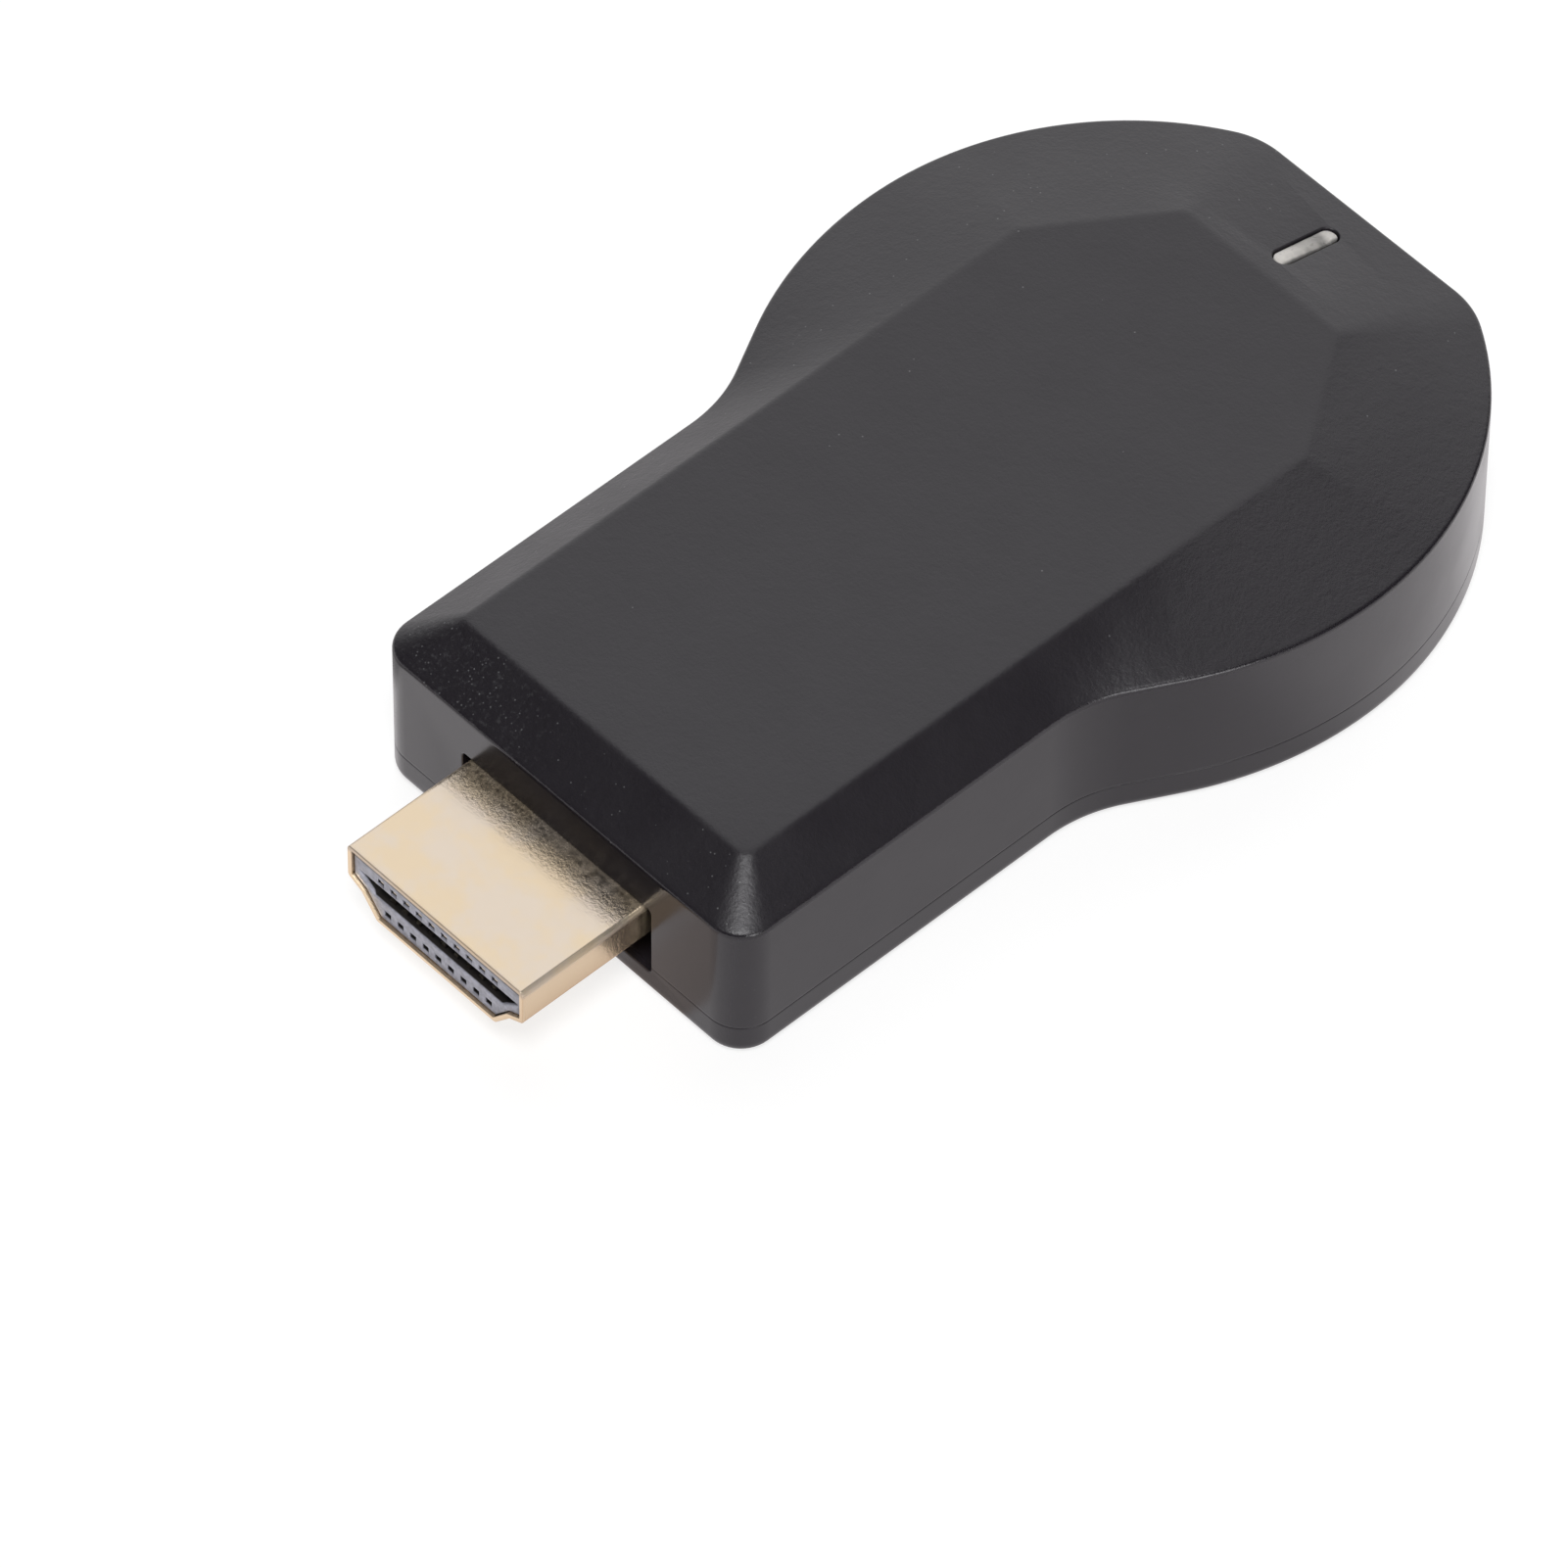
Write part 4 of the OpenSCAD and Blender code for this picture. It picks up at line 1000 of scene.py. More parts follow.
def side_beads(o, grow):
    """Snap beads round the rim of the lower shell, or their grooves when grown."""
    s, r = o.s, BEAD + grow
    rim = s.wall + CLIP_GAP
    low, high = box_mm("hdmi_shell")
    opening = (high.x - low.x) / 2 + PLUG_ROOM[0]
    room = s.neck_width / 2 - s.front_corner - opening
    profile = [(-BEAD_ROOT, -r), (0, -r), (r, 0), (0, r), (-BEAD_ROOT, r)]
    side_bead, far_bead, front_room = 5, 7, 2.1
    beads = [(way * (s.neck_width / 2 - rim), o.front_y + d, 0 if way > 0 else 180, side_bead)
             for way in (1, -1) for d in (5, 19)]
    beads += [(way * (opening + room / 2), o.front_y + rim, -90, room - front_room)
              for way in (1, -1)]
    beads.append((0, o.far_y - rim, 90, far_bead))
    parts = []
    for x, y, turn, size in beads:
        half = size / 2 + grow
        bead = extruded(profile, -half, half, lambda t, u, v: (u, t, v))
        place = Matrix.Translation((x, y, s.part_height + BEAD_LIFT))
        parts.append(placed(bead, place @ Matrix.Rotation(math.radians(turn), 4, "Z")))
    return parts


class DONGLE_OT_upper_casing(bpy.types.Operator):
    """Make the upper shell with its raised face, openings, bosses and ribs"""
    bl_idname = "dongle.upper_casing"
    bl_label = "Upper casing"

    def execute(self, context):
        o = Outline()
        wall, side = o.s.wall, o.s.side_height
        ceiling = o.top - wall
        inner = [o.crest(0.3 * wall, ceiling), o.plan(wall, side - 0.6 * wall),
                 o.plan(wall, o.foot_z)]
        piece = build("casing_top", *skin(inner + outer_rings(o)))
        screws, pins = boss_places()
        board_low, board_high = (corner.z for corner in box_mm("main_board"))
        column = [(BOSS, board_high), (BOSS, ceiling + 0.15 * wall)]
        peg = [(PIN_TIP, board_low - PIN_REACH), (PIN, board_low), (PIN, board_high)]
        parts = standing(lathe(column), screws) + standing(lathe(peg + column), pins)
        rib_low, rib_high = ceiling - 1, ceiling + 0.1
        rib = [level(guarded(box_outline(*outline), 0.1), z)
               for outline, z in ((RIB_OUTER, rib_low), (RIB_OUTER, rib_high),
                                  (RIB_INNER, rib_high), (RIB_INNER, rib_low))]
        parts += standing(skin(rib, looped=True), [(0, o.front_y)])
        plug_top = box_mm("hdmi_shell")[1].z
        width, size, behind = OVER_PLUG
        parts.append(block((width, size, side - plug_top), (0, o.front_y + behind, plug_top)))
        add_parts(piece, parts)
        bore = lathe([(BORE, board_high - OVER), (BORE, board_high + BORE_DEPTH)])
        cut_parts(piece, [*openings(o), *standing(bore, screws)])
        cut_parts(piece, side_beads(o, 0.1))
        keep(piece, "upper_casing", casing_finish())
        return {"FINISHED"}


class DONGLE_OT_lower_casing(bpy.types.Operator):
    """Make the lower shell with its rounded foot, snap rim, posts and ribs"""
    bl_idname = "dongle.lower_casing"
    bl_label = "Lower casing"

    def execute(self, context):
        o = Outline()
        foot, lip, part = o.s.foot_radius, o.s.part_lip, o.part_z
        rings = [o.plan(foot + 2 * GUARD, 0)]
        rings += [o.plan(fall, d) for d, fall in quarter(foot, 8)]
        rings += [o.plan(0, foot + GUARD), o.plan(0, part - lip - GUARD)]
        rings += [o.plan(d, part - fall) for d, fall in quarter(lip)]
        rim = o.s.wall + CLIP_GAP
        rings += [o.plan(rim + d, z) for d, z in ((0, part), (0, part + 1), (0.1, part + 1.1),
                                                  (0.8, part + 1.1), (0.8, FLOOR_TOP))]
        piece = build("casing_base", *skin(rings))
        half = FLOOR_TOP / 2
        board = box_mm("main_board")[0].z
        neck_x = -boss_places()[0][0][0]
        posts = [(way * x, y) for x, y in ((neck_x, o.front_y + NECK_POST),
                                           (HEAD_POST[0], o.far_y - HEAD_POST[1]))
                 for way in (1, -1)]
        post = [(POST, half), (POST, board - POST + POST_TOP), (POST_TOP, board)]
        parts = standing(lathe(post), posts)
        plug_low = box_mm("hdmi_shell")[0].z
        width, size = UNDER_PLUG
        parts.append(block((width, size, plug_low - half),
                           (0, o.front_y + o.s.wall + size / 2, half)))
        width, thick, tall = FLOOR_RIB
        parts += [block((width, thick, tall + half), (0, o.front_y + d, half))
                  for d in FLOOR_RIB_PLACES]
        add_parts(piece, parts)
        add_parts(piece, side_beads(o, 0))
        cut_parts(piece, openings(o)[:1])
        keep(piece, "lower_casing", casing_finish())
        return {"FINISHED"}


# Video plug

PLUG_LOW = 2.4             # height of the plug's underside
PLUG_TAIL = 2.3            # how far the plug's metal reaches behind the casing's front wall
LEG_PLACE = 4.55           # from that wall to the legs that hold the plug in the board
LEG_WIDTH, LEG_OVER, LEG_UNDER = 1.1, 0.5, 0.4
CHANNEL = (0.55, 5.05)     # from the plug's lip to both ends of a window's open channel
UPPER_LIFT, LOWER_DROP = 0.12, 1.1     # from the slot to the windows above and below it


def plug_outline(d):
    """Outline of the plug's metal, drawn in by d, in width and height."""
    s = settings("plug")
    low, high = box_mm("hdmi_shell")
    w, h = high.x - low.x, high.z - PLUG_LOW
    points = mirrored([(s.base_width / 2, 0), (s.slope_width / 2, s.slope_height),
                       (w / 2, h - s.side_height), (w / 2, h)])
    outline = rounded(inset(points, d), max(s.corner - d, 0.08), 8)
    return [(x, z + PLUG_LOW) for x, z in guarded(outline, 0.08)]


def sleeve(outline, front, back, metal, lip):
    """Metal sleeve inside an outline, with rounded ends."""
    lip = min(lip, metal / 2)

    def end(y, way):
        outer = [along(outline(d), y + way * fall) for d, fall in quarter(lip, 4)]
        inner = [along(outline(metal - d), y + way * fall) for d, fall in quarter(lip, 4)]
        return outer + inner[::-1]

    near, far = front + lip + 0.1, back - lip - 0.1
    rings = end(front, 1) + [along(outline(metal), y) for y in (near, far)]
    rings += end(back, -1)[::-1] + [along(outline(0), y) for y in (far, near)]
    return skin(rings, looped=True)


class DONGLE_OT_plug_shell(bpy.types.Operator):
    """Make the plug's gold-plated metal sleeve with its rounded lip and board tabs"""
    bl_idname = "dongle.plug_shell"
    bl_label = "Plug shell"

    def execute(self, context):
        s = settings("plug")
        low, high = box_mm("hdmi_shell")
        board_low, board_high = (corner.z for corner in box_mm("main_board"))
        wall = Outline().front_y
        t, back = s.metal, wall + PLUG_TAIL
        piece = build("plug_shell", *sleeve(plug_outline, low.y, back, t, s.lip))
        sides = [way * (high.x - t / 2) for way in (1, -1)]
        rail, leg = high.y - back + t, board_high - board_low + LEG_OVER + LEG_UNDER
        add_parts(piece, [block((t, rail, 1), (x, high.y - rail / 2, board_high))
                          for x in sides])
        add_parts(piece, [block((t, LEG_WIDTH, leg), (x, wall + LEG_PLACE, board_low - LEG_UNDER))
                          for x in sides])
        keep(piece, "hdmi_shell", gold_finish(wall, high.z))
        return {"FINISHED"}


def slot_levels():
    """Heights of the tongue's slot and of the two rows of windows."""
    s = settings("plug")
    floor_z = PLUG_LOW + s.slot_lift
    roof = floor_z + s.slot_height
    return floor_z, roof, roof + UPPER_LIFT, floor_z - LOWER_DROP


def window_cutter(front, back, low, high, inner, w):
    """Window through the core with the channel that opens it to the slot behind the face."""
    near, far = front - OVER, back + OVER
    start, end = (front + d for d in CHANNEL)
    if inner < low:
        profile = [(near, low), (start, low), (start, inner), (end, inner), (end, low),
                   (far, low), (far, high), (near, high)]
    else:
        profile = [(near, low), (far, low), (far, high), (end, high), (end, inner),
                   (start, inner), (start, high), (near, high)]
    return extruded(profile, -w / 2, w / 2, lambda t, u, v: (t, u, v))


class DONGLE_OT_plug_core(bpy.types.Operator):
    """Make the plug's moulded core with the tongue's slot and a window for each contact"""
    bl_idname = "dongle.plug_core"
    bl_label = "Plug core"

    def execute(self, context):
        s = settings("plug")
        low, high = box_mm("hdmi_insulator")
        lip, top = box_mm("hdmi_shell")[0].y, box_mm("hdmi_shell")[1].z
        seat = s.metal + FIT
        rings = [along(plug_outline(seat + fall), low.y + d) for d, fall in quarter(0.05)]
        rings += [along(plug_outline(seat), y) for y in (low.y + 0.15, high.y)]
        piece = build("plug_core", *skin(rings))
        floor_z, roof, upper, lower = slot_levels()
        slot = mirrored([(s.slot_base_width / 2, 0), (s.slot_width / 2, roof - floor_z)])
        cutter = flared(lambda g: inset(rounded(slot, 0.06, 4), -g),
                        s.slot_depth - (low.y - lip), 0.10)
        cut_parts(piece, [placed(cutter, turned((0, low.y, floor_z), *FRONTWARD))])
        for count, z in ((s.upper_count, upper), (s.lower_count, lower)):
            cut_row(piece, window_cutter(lip, high.y, z, z + s.window_height,
                                         (floor_z + roof) / 2, s.window_width), count, s.pitch)
        tidy(piece)
        keep(piece, "hdmi_insulator", core_finish(low.y, top))
        return {"FINISHED"}


def strip(path, t, w):
    """Flat spring strip with soft edges along a path in length and height, its bends curved."""
    for _ in range(2):
        cut = [mix(a, b, part) for a, b in zip(path, path[1:]) for part in (0.25, 0.75)]
        path = [path[0], *cut, path[-1]]
    section = rounded(box_outline(w, -t / 2, t / 2), 0.03, 2)
    rings = []
    for before, p, after in zip(path[:1] + path, path, path[1:] + path[-1:]):
        run = Vector((after[0] - before[0], after[1] - before[1])).normalized()
        rings.append([(x, p[0] - run.y * z, p[1] + run.x * z) for x, z in section])
    return skin(rings)


class DONGLE_OT_plug_contacts(bpy.types.Operator):
    """Make both rows of spring contacts inside the plug"""
    bl_idname = "dongle.plug_contacts"
    bl_label = "Plug contacts"

    def execute(self, context):
        s = settings("plug")
        floor_z, roof, upper, lower = slot_levels()
        t, bow, tip = 0.15, 0.05, 0.15                # thickness, and how the strip bends
        front = box_mm("hdmi_shell")[0].y
        core_end = box_mm("hdmi_insulator")[1].y
        board_low, board_high = (corner.z for corner in box_mm("main_board"))
        paint = metal_finish("contact_plating", s.contact, 0.28, (1.0, 0.2, 1.0))
        rows = (("upper", s.upper_count, 0.34, upper + 0.35 * s.window_height,
                 roof - bow - t / 2, board_high + t / 2),
                ("lower", s.lower_count, 0.85, lower + 0.65 * s.window_height,
                 floor_z + bow + t / 2, board_low - t / 2))
        for side, count, start, rest, touch, tail in rows:
            # From its tip over the touching point to the tail on the board
            path = [(front + start, rest + (rest - touch) * tip), (front + 1.2, rest),
                    (front + 2.6, touch), (front + 4.4, rest), (core_end, rest),
                    (core_end + 0.9, tail), (core_end + 2.2, tail)]
            piece = build("plug_contacts_" + side, *strip(path, t, 0.3))
            keep(row(piece, count, s.pitch, ACROSS, paint), "hdmi_contacts_" + side)
        return {"FINISHED"}


class DONGLE_OT_light_pipe(bpy.types.Operator):
    """Make the milky light pipe in the slot, with its flange and leg"""
    bl_idname = "dongle.light_pipe"
    bl_label = "Light pipe"

    def execute(self, context):
        s = settings("light")
        o = Outline()
        fall, place = slope_frame(o)
        play = 0.1                                    # gap round the pipe in its slot
        size, w = s.slot_length - 2 * play, s.slot_width - 2 * play
        longer, wider, thick = 0.7, 1.2, 0.6          # the flange against the pipe
        top = -o.s.wall - play
        flange = stadium(size + longer, w + wider)
        rings = [level(flange, top - thick), level(flange, top), level(stadium(size, w), top)]
        edge, rim = 0.08, -s.recess - s.crown
        crown = [(edge + k * (w / 2 - edge - 0.02) / 5, -s.recess - s.crown * (1 - k / 5) ** 2)
                 for k in range(1, 6)]
        rings += [level(stadium(size - 2 * d, w - 2 * d), z)
                  for d, z in [(d, rim - drop) for d, drop in quarter(edge)] + crown]
        piece = build("light_pipe_clear", *placed(skin(rings), place))
        x, y, _ = middle("status_led")
        leg_low = box_mm("light_pipe")[0].z
        leg_top = o.top - (y - o.far_y + o.s.face_far) * math.tan(fall) + top - thick / 2
        leg = (0.8, 1.1, leg_top - leg_low)
        add_parts(piece, [block(leg, (x, y, leg_low))])
        run = size * math.cos(fall)
        keep(piece, "light_pipe", pipe_finish(place.translation.y - run / 2, run))
        dress("status_led", plastic_finish("led_resin", (0.78, 0.72, 0.52), 0.3))
        return {"FINISHED"}


# Power socket and push button

def socket_outline(d):
    """Outline of the socket's metal, drawn in by d."""
    s = settings("socket")
    x0, floor_z, w, h = socket_box()
    points = mirrored([(w / 2 - s.bevel_width, 0), (w / 2, s.bevel_height), (w / 2, h)])
    outline = guarded(rounded(inset(points, d), s.corner - d), 0.06)
    return [(x + x0, z + floor_z) for x, z in outline]


class DONGLE_OT_power_socket(bpy.types.Operator):
    """Make the power socket: its metal sleeve, its tongue and its contacts"""
    bl_idname = "dongle.power_socket"
    bl_label = "Power socket"

    def execute(self, context):
        s = settings("socket")
        low, high = box_mm("usb_shell")
        x0, _, width, _ = socket_box()
        front, end = (corner.y for corner in box_mm("usb_tongue"))
        piece = build("socket_shell", *sleeve(socket_outline, low.y, high.y, s.metal, 0.1))
        tab, first, pitch = 0.9, 0.9, 1.3             # length and places of the board tabs
        reach = high.x - x0 - (width / 2 - s.bevel_width)
        add_parts(piece, [block((reach, tab, s.metal), (x0 + way * (high.x - x0 - reach / 2),
                                                        low.y + first + pitch * k, low.z))
                          for way in (1, -1) for k in (0, 1)])
        keep(piece, "usb_shell", metal_finish("bright_nickel", s.nickel, 0.26))
        base, w, thick, bevel = 1.2, 3.9, 0.6, 0.1    # the tongue's base and its blade
        tongue = build("socket_tongue", *skin([along(socket_outline(s.metal + SOCKET_FIT), y)
                                               for y in (front, front + base)]))
        z = low.z + 1.25
        blade = []
        for y, d, r in ((front + base / 2, 0, 0.08), (end - 0.12, 0, 0.08), (end, bevel, 0.06)):
            section = rounded(box_outline(w - 2 * d, z + d, z + thick - d), r, 3)
            blade.append([(x0 + x, y, height) for x, height in section])
        add_parts(tongue, [skin(blade)])
        groove = (0.36, 3.4, 0.3)
        cut_row(tongue, block(groove, (x0, front, z - groove[2])), s.count, s.pitch)
        tidy(tongue)
        keep(tongue, "usb_tongue", plastic_finish("socket_plastic", (0.02, 0.02, 0.021), 0.42))
        contact_low, contact_high = box_mm("usb_contacts")
        t, w = 0.14, 0.32
        rest, tail = z - t / 2, contact_low.z + t / 2
        path = [(contact_high.y, rest), (front, rest), (front - 1.25, tail),
                (contact_low.y, tail)]
        contacts = build("socket_contacts", *standing(strip(path, t, w), [(x0, 0)])[0])
        row(contacts, s.count, s.pitch, ACROSS,
            metal_finish("socket_contact_plating", (0.72, 0.58, 0.36), 0.28))
        keep(contacts, "usb_contacts")
        return {"FINISHED"}


class DONGLE_OT_push_button(bpy.types.Operator):
    """Make the push button with its dished face, and finish the switch behind it"""
    bl_idname = "dongle.push_button"
    bl_label = "Push button"

    def execute(self, context):
        s = settings("socket")
        low, high = box_mm("mode_button")
        x, _, z = middle("mode_button")
        size, r, wide = high.y - low.y, s.button_width / 2, (high.x - low.x) / 2
        edge, flange, bevel = 0.2, 0.6, 0.1
        profile = [(0.01, 0), (wide - bevel, 0), (wide, bevel), (wide, flange - bevel),
                   (wide - bevel, flange), (r + bevel, flange), (r, flange + bevel),
                   (r, size - edge - bevel)]
        profile += [(r - d, size - fall) for d, fall in quarter(edge, 6)]
        profile += [((r - edge - 0.12) * k / 8, size - s.button_dish * (1 - (k / 8) ** 2))
                    for k in range(8, 0, -1)]
        profile.append((0.01, size - s.button_dish))
        piece = build("push_button", *placed(lathe(profile, 64),
                                             turned((x, low.y, z), *FARWARD)))
        keep(piece, "mode_button", plastic_finish("button_plastic", s.button, 0.34), "button")
        dress("switch_body", plastic_finish("switch_plastic", (0.022, 0.022, 0.024), 0.5))
        dress("switch_cover", metal_finish("switch_steel", (0.55, 0.55, 0.56), 0.3,
                                           (0.15, 1.0, 1.0)))
        dress("switch_plunger", plastic_finish("plunger_plastic", (0.05, 0.05, 0.052), 0.45))
        return {"FINISHED"}


# Circuit board

def capped_row(name, size, end, at, count, pitch, paint):
    """Row of chip bodies whose tinned ends are told apart by an attribute."""
    ends = [((end, size[1], size[2] - 0.05), (at[0] + way * (size[0] - end) / 2, at[1], at[2]))
            for way in (1, -1)]
    blocks = [((size[0] - 2 * end, size[1], size[2]), at), *ends]
    piece = build(name, *joined([soft_block(*sized, 0.04) for sized in blocks]))
    mark = piece.data.attributes.new("tinned", "FLOAT", "POINT")
    for k, vertex in enumerate(piece.data.vertices):
        outside = abs(vertex.co.x / MM - at[0]) >= size[0] / 2 - end - 1e-4
        mark.data[k].value = 1.0 if outside else 0.0
    return row(piece, count, pitch, ALONG, paint)


class DONGLE_OT_circuit_board(bpy.types.Operator):
    """Finish the circuit board, and make the chips and rows of small parts on it"""
    bl_idname = "dongle.circuit_board"
    bl_label = "Circuit board"

    def execute(self, context):
        resin = (0.016, 0.016, 0.018)
        dress("main_board", board_finish())
        dress("processor", plastic_finish("processor_resin", resin, 0.42))
        dress("memory_chip", plastic_finish("memory_resin", resin, 0.5))
        dress("flash_chip", plastic_finish("flash_resin", (0.02, 0.02, 0.022), 0.46))
        dress("regulators", plastic_finish("regulator_resin", (0.024, 0.024, 0.025), 0.48))
        dress("inductors", plastic_finish("ferrite", (0.05, 0.05, 0.052), 0.6, 0.2, 0.008))
        dress("crystal", metal_finish("crystal_can", (0.56, 0.56, 0.57), 0.24))
        dress("thermal_pad", plastic_finish("thermal_rubber", (0.27, 0.38, 0.48), 0.7, 0.3))
        dress("board_screws", metal_finish("screw_steel", (0.58, 0.58, 0.60), 0.3))
        arrays = plastic_finish("array_resin", (0.02, 0.02, 0.022), 0.5)
        glaze = plastic_finish("resistor_glaze", (0.014, 0.014, 0.015), 0.3)
        for name, node, width, count, r, paint in (
                ("surge_arrays", "esd_arrays", 2.4, 4, 0.06, arrays),
                ("resistor_row", "chip_resistors", 0.5, 8, 0.05, glaze)):
            low, high = box_mm(node)
            size, at = (width, high.y - low.y, high.z - low.z), (0, middle(node)[1], low.z)
            piece = build(name, *soft_block(size, at, r))
            row(piece, count, (high.x - low.x - width) / (count - 1), ACROSS, paint)
            keep(piece, node)
        self.capacitors()
        return {"FINISHED"}

    def capacitors(self):
        low, high = box_mm("ceramic_capacitors")
        size, count = (1.0, 0.5, high.z - low.z), 6
        paint = capped_finish("ceramic", (0.36, 0.24, 0.13))
        for side, way in (("right", 1), ("left", -1)):
            at = (way * (high.x - size[0] / 2), middle("ceramic_capacitors")[1], low.z)
            keep(capped_row("capacitor_row_" + side, size, 0.25, at, count,
                            (high.y - low.y - size[1]) / (count - 1), paint),
                 "ceramic_capacitors")
        low, high = box_mm("bulk_capacitors")
        size, at = (high.x - low.x, 2.8, high.z - low.z), (*middle("bulk_capacitors")[:2], low.z)
        keep(capped_row("bulk_capacitor_pair", size, 0.3, at, 2, high.y - low.y - size[1],
                        capped_finish("tantalum", (0.55, 0.30, 0.035))), "bulk_capacitors")


class DONGLE_OT_heat_sink(bpy.types.Operator):
    """Make the heat sink with its row of fins"""
    bl_idname = "dongle.heat_sink"
    bl_label = "Heat sink"

    def execute(self, context):
        s = settings("board")
        low, high = box_mm("heat_sink")
        x, y, _ = middle("heat_sink")
        size = high - low
        paint = metal_finish("sink_aluminium", s.sink, 0.36, (1.0, 0.1, 1.0))
        piece = build("sink_fins", *soft_block((s.fin, size.y, size.z - s.base / 2),
                                               (x, y, low.z + s.base / 2), 0.1))
        row(piece, s.fin_count, (size.x - s.fin) / (s.fin_count - 1), ACROSS, paint)
        add_parts(piece, [soft_block((size.x, size.y, s.base), (x, y, low.z))])
        keep(piece, "heat_sink", paint)
        return {"FINISHED"}


# Studio

CAMERA_PLACE = (0.35520, -0.34339, 0.59306)    # in metres
CAMERA_TURN = (39.3005, -0.3072, 47.1151)      # degrees about X, Y and Z
KEY_FROM = (0.30, -0.30, 0.90)
SIDE_PANEL = math.radians(-14)                 # direction of the tall panel, about Z from X


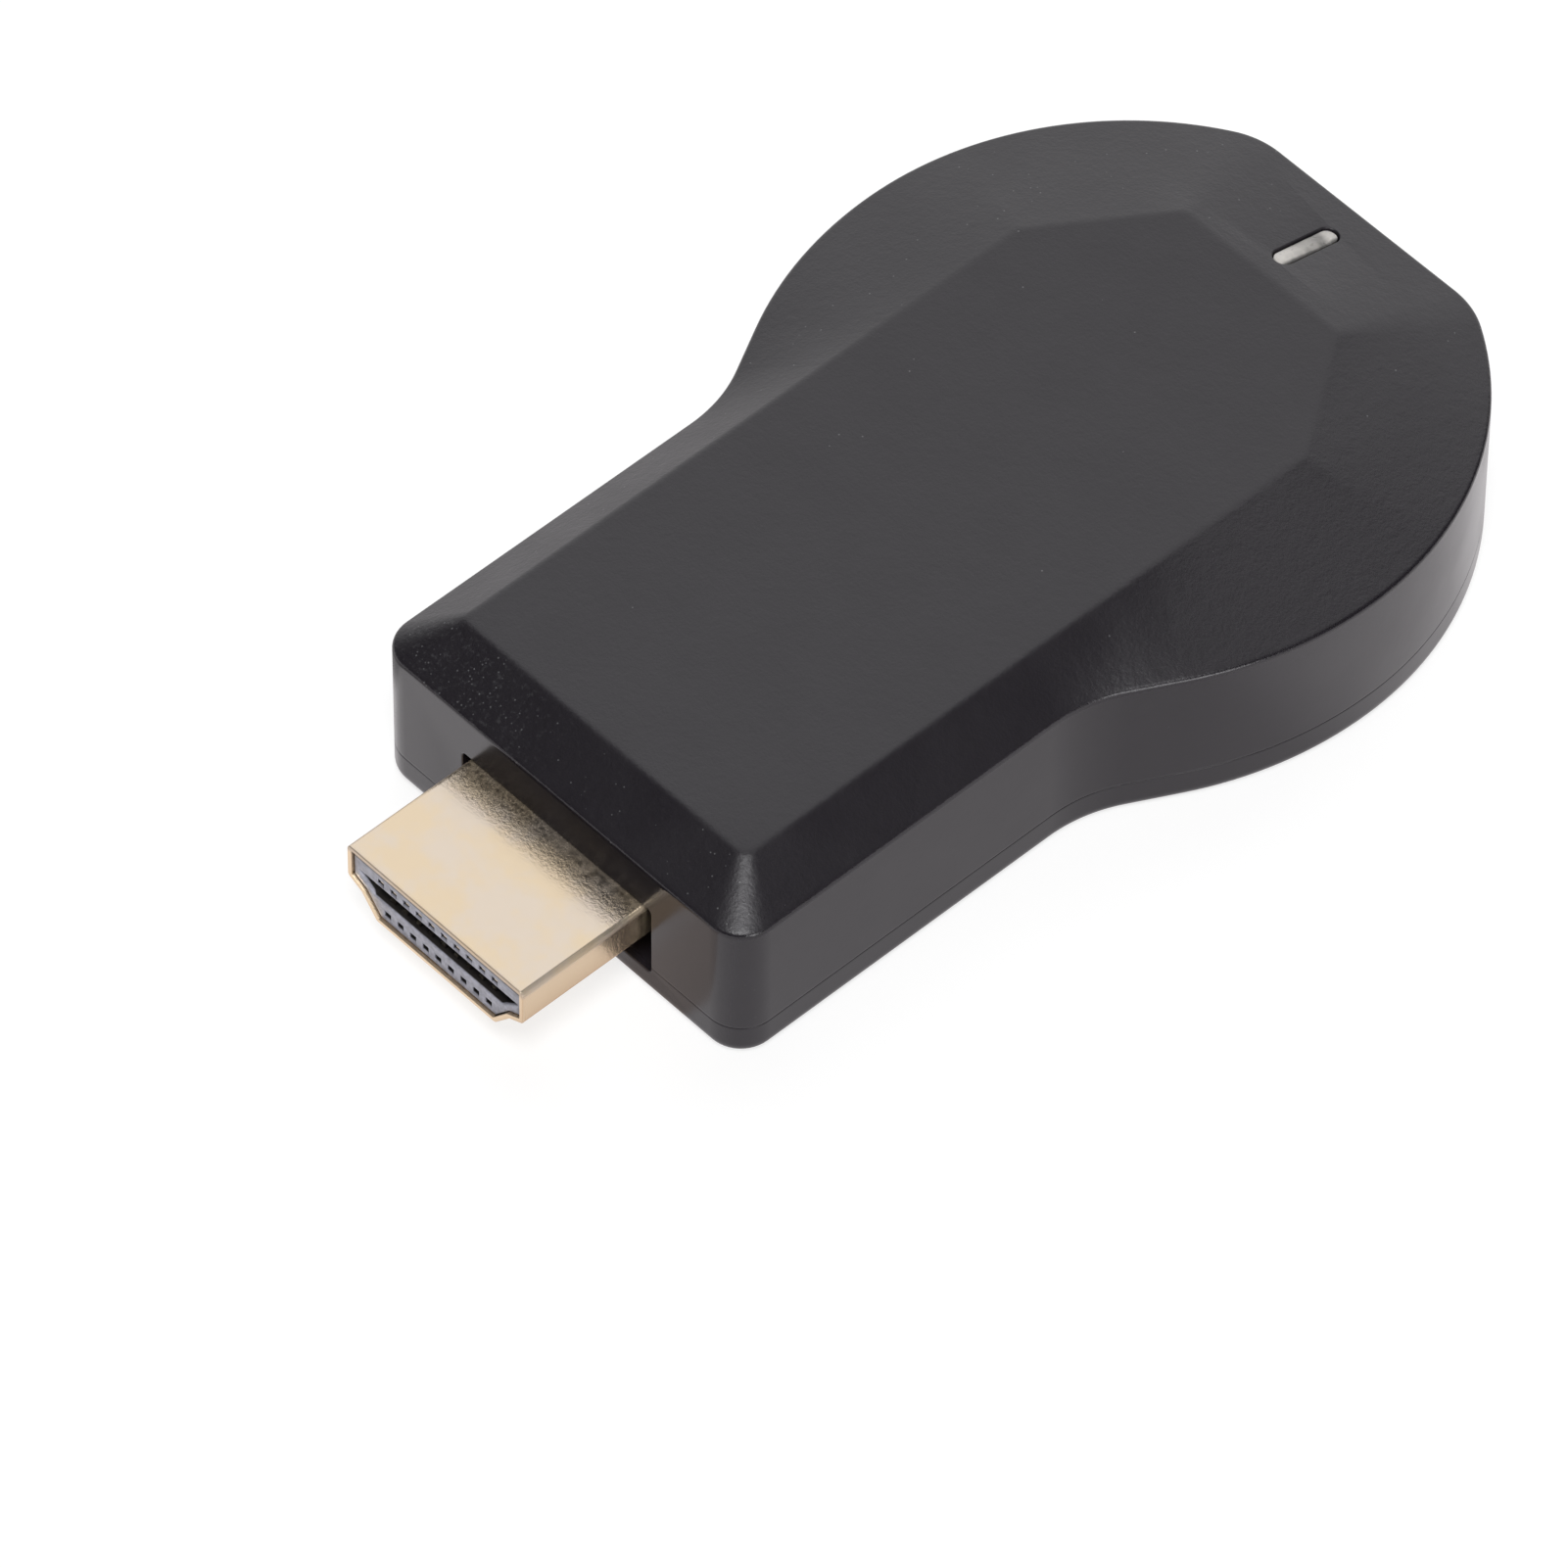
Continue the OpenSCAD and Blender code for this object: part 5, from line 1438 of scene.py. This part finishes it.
class DONGLE_OT_stage(bpy.types.Operator):
    """Make the pale floor, the soft light and the camera"""
    bl_idname = "dongle.stage"
    bl_label = "Studio"

    def execute(self, context):
        s = settings("stage")
        scene = context.scene
        piece = build("floor", level(box_outline(s.floor_size, -s.floor_size / 2,
                                                 s.floor_size / 2), -0.02), [(3, 0, 1, 2)])
        piece.data.materials.append(self.floor_finish(s))
        key = bpy.data.lights.new("key", "SUN")
        key.energy, key.angle = s.key, s.key_angle
        lamp = bpy.data.objects.new("key", key)
        lamp.rotation_euler = Vector(KEY_FROM).to_track_quat("Z", "Y").to_euler()
        scene.collection.objects.link(lamp)
        scene.world = self.panels(s)
        camera = bpy.data.cameras.new("camera")
        camera.lens, camera.sensor_width = s.lens, 36.0
        camera.clip_start, camera.clip_end = 0.01, 50.0
        eye = bpy.data.objects.new("camera", camera)
        eye.location = CAMERA_PLACE
        eye.rotation_euler = [math.radians(a) for a in CAMERA_TURN]
        scene.collection.objects.link(eye)
        scene.camera = eye
        scene.view_settings.view_transform = "Standard"
        return {"FINISHED"}

    def floor_finish(self, s):
        """Pale floor that shows the camera a white one, and the metal a graded one."""
        p = Paint("pale_floor", s.floor, 0.9)
        x, y = p.x, p.y
        p.give("Specular IOR Level", 0.0)
        p.shade(p.noise(20, 3), 0.99, 1.01)
        rays = p.add("ShaderNodeLightPath").outputs
        seen = p.most(rays["Is Glossy Ray"], rays["Is Transmission Ray"])
        side = x + y
        graded = p.span(side, -42, -18, 1.15, 0.90) + p.span(side, -16, 0, 0, -0.08)
        strip = p.math("MINIMUM", p.span(x, -20.5, -18.5, 1, 0), p.span(x, -36, -28))
        behind = p.span(y - x, 4, 14, 0.33, 0.50) * p.span(side, 30, 41)
        # Painted shadow and reflection: in front of the plug, on its right, the glow that the
        # metal sees is darker, as in the plug's shadow, and warmer, as from its gold
        beside = (p.span(x, 9.4, 10.2, 1, 0) * p.span(x, 3, 6)
                  * p.span(y, -22.5, -20.5, 1, 0))
        graded = (graded * p.between(strip, 1, 0.4) + behind) * p.between(beside, 1, 0.74)
        warm = p.blend(beside, (1.0, 0.965, 0.98), (1.0, 0.87, 0.815))
        glow = p.add("ShaderNodeEmission", {"Color": p.blend(seen, (1.0, 1.0, 1.0), warm),
                                            "Strength": p.blend(seen, 1.25, graded, "FLOAT")})
        lit = p.most(seen, p.math("MULTIPLY", rays["Is Camera Ray"], 0.6))
        both = p.add("ShaderNodeMixShader", {"Fac": lit, 1: p.shader.outputs[0],
                                             2: glow.outputs[0]})
        p.put(p.tree.nodes["Material Output"].inputs["Surface"], both.outputs[0])
        return p.material

    def panels(self, s):
        """World with a soft panel behind, a pale horizon and a tall panel on the right."""
        world = bpy.data.worlds.new("studio")
        world.use_nodes = True
        w = Nodes(world.node_tree)
        x, y, z = w.axes(w.add("ShaderNodeTexCoord").outputs["Generated"])
        panel = w.span(y, -0.10, 0.20, 0, s.sky) * w.span(x, -0.16, 0.15, 1, 0)
        horizon = w.span(z, 0.0, 0.16, 0.9, 0)
        off = w.math("ABSOLUTE", y * math.cos(SIDE_PANEL) - x * math.sin(SIDE_PANEL))
        upright = w.span(z, -0.06, 0.10, 0, s.side) * w.span(z, 0.44, 0.60, 1, 0)
        beam = w.span(x, 0.30, 0.50) * w.span(off, 0.12, 0.22, 1, 0)
        soft = w.most(panel, horizon) + 0.03 + upright * beam
        rays = w.add("ShaderNodeLightPath").outputs
        background = world.node_tree.nodes["Background"].inputs
        w.put(background["Strength"], w.most(rays["Is Camera Ray"], soft))
        w.put(background["Color"], (1.0, 1.0, 1.0))
        return world


# Sidebar, registration and run

GROUPS = {"casing": CasingSettings, "plug": PlugSettings, "light": LightSettings,
          "socket": SocketSettings, "board": BoardSettings, "stage": StageSettings}
MAKERS = (DONGLE_OT_stage, DONGLE_OT_upper_casing, DONGLE_OT_lower_casing,
          DONGLE_OT_plug_shell, DONGLE_OT_plug_core, DONGLE_OT_plug_contacts,
          DONGLE_OT_light_pipe, DONGLE_OT_power_socket, DONGLE_OT_push_button,
          DONGLE_OT_circuit_board, DONGLE_OT_heat_sink)


class DONGLE_PT_sidebar(bpy.types.Panel):
    """List of the dongle's pieces and their settings"""
    bl_idname = "DONGLE_PT_sidebar"
    bl_label = "Wireless display dongle"
    bl_space_type = "VIEW_3D"
    bl_region_type = "UI"
    bl_category = "Dongle"

    def draw(self, context):
        for maker in MAKERS:
            self.layout.operator(maker.bl_idname)
        for name, group in GROUPS.items():
            box = self.layout.box()
            box.label(text=name.capitalize())
            for item in group.__annotations__:
                box.prop(getattr(context.scene, "dongle_" + name), item)


def register():
    for name, group in GROUPS.items():
        bpy.utils.register_class(group)
        setattr(bpy.types.Scene, "dongle_" + name, PointerProperty(type=group))
    for maker in (*MAKERS, DONGLE_PT_sidebar):
        bpy.utils.register_class(maker)


def unregister():
    for maker in (DONGLE_PT_sidebar, *reversed(MAKERS)):
        bpy.utils.unregister_class(maker)
    for name, group in GROUPS.items():
        delattr(bpy.types.Scene, "dongle_" + name)
        bpy.utils.unregister_class(group)


def main():
    register()
    for maker in MAKERS:
        getattr(bpy.ops.dongle, maker.bl_idname.split(".")[1])()


if __name__ == "__main__":
    main()
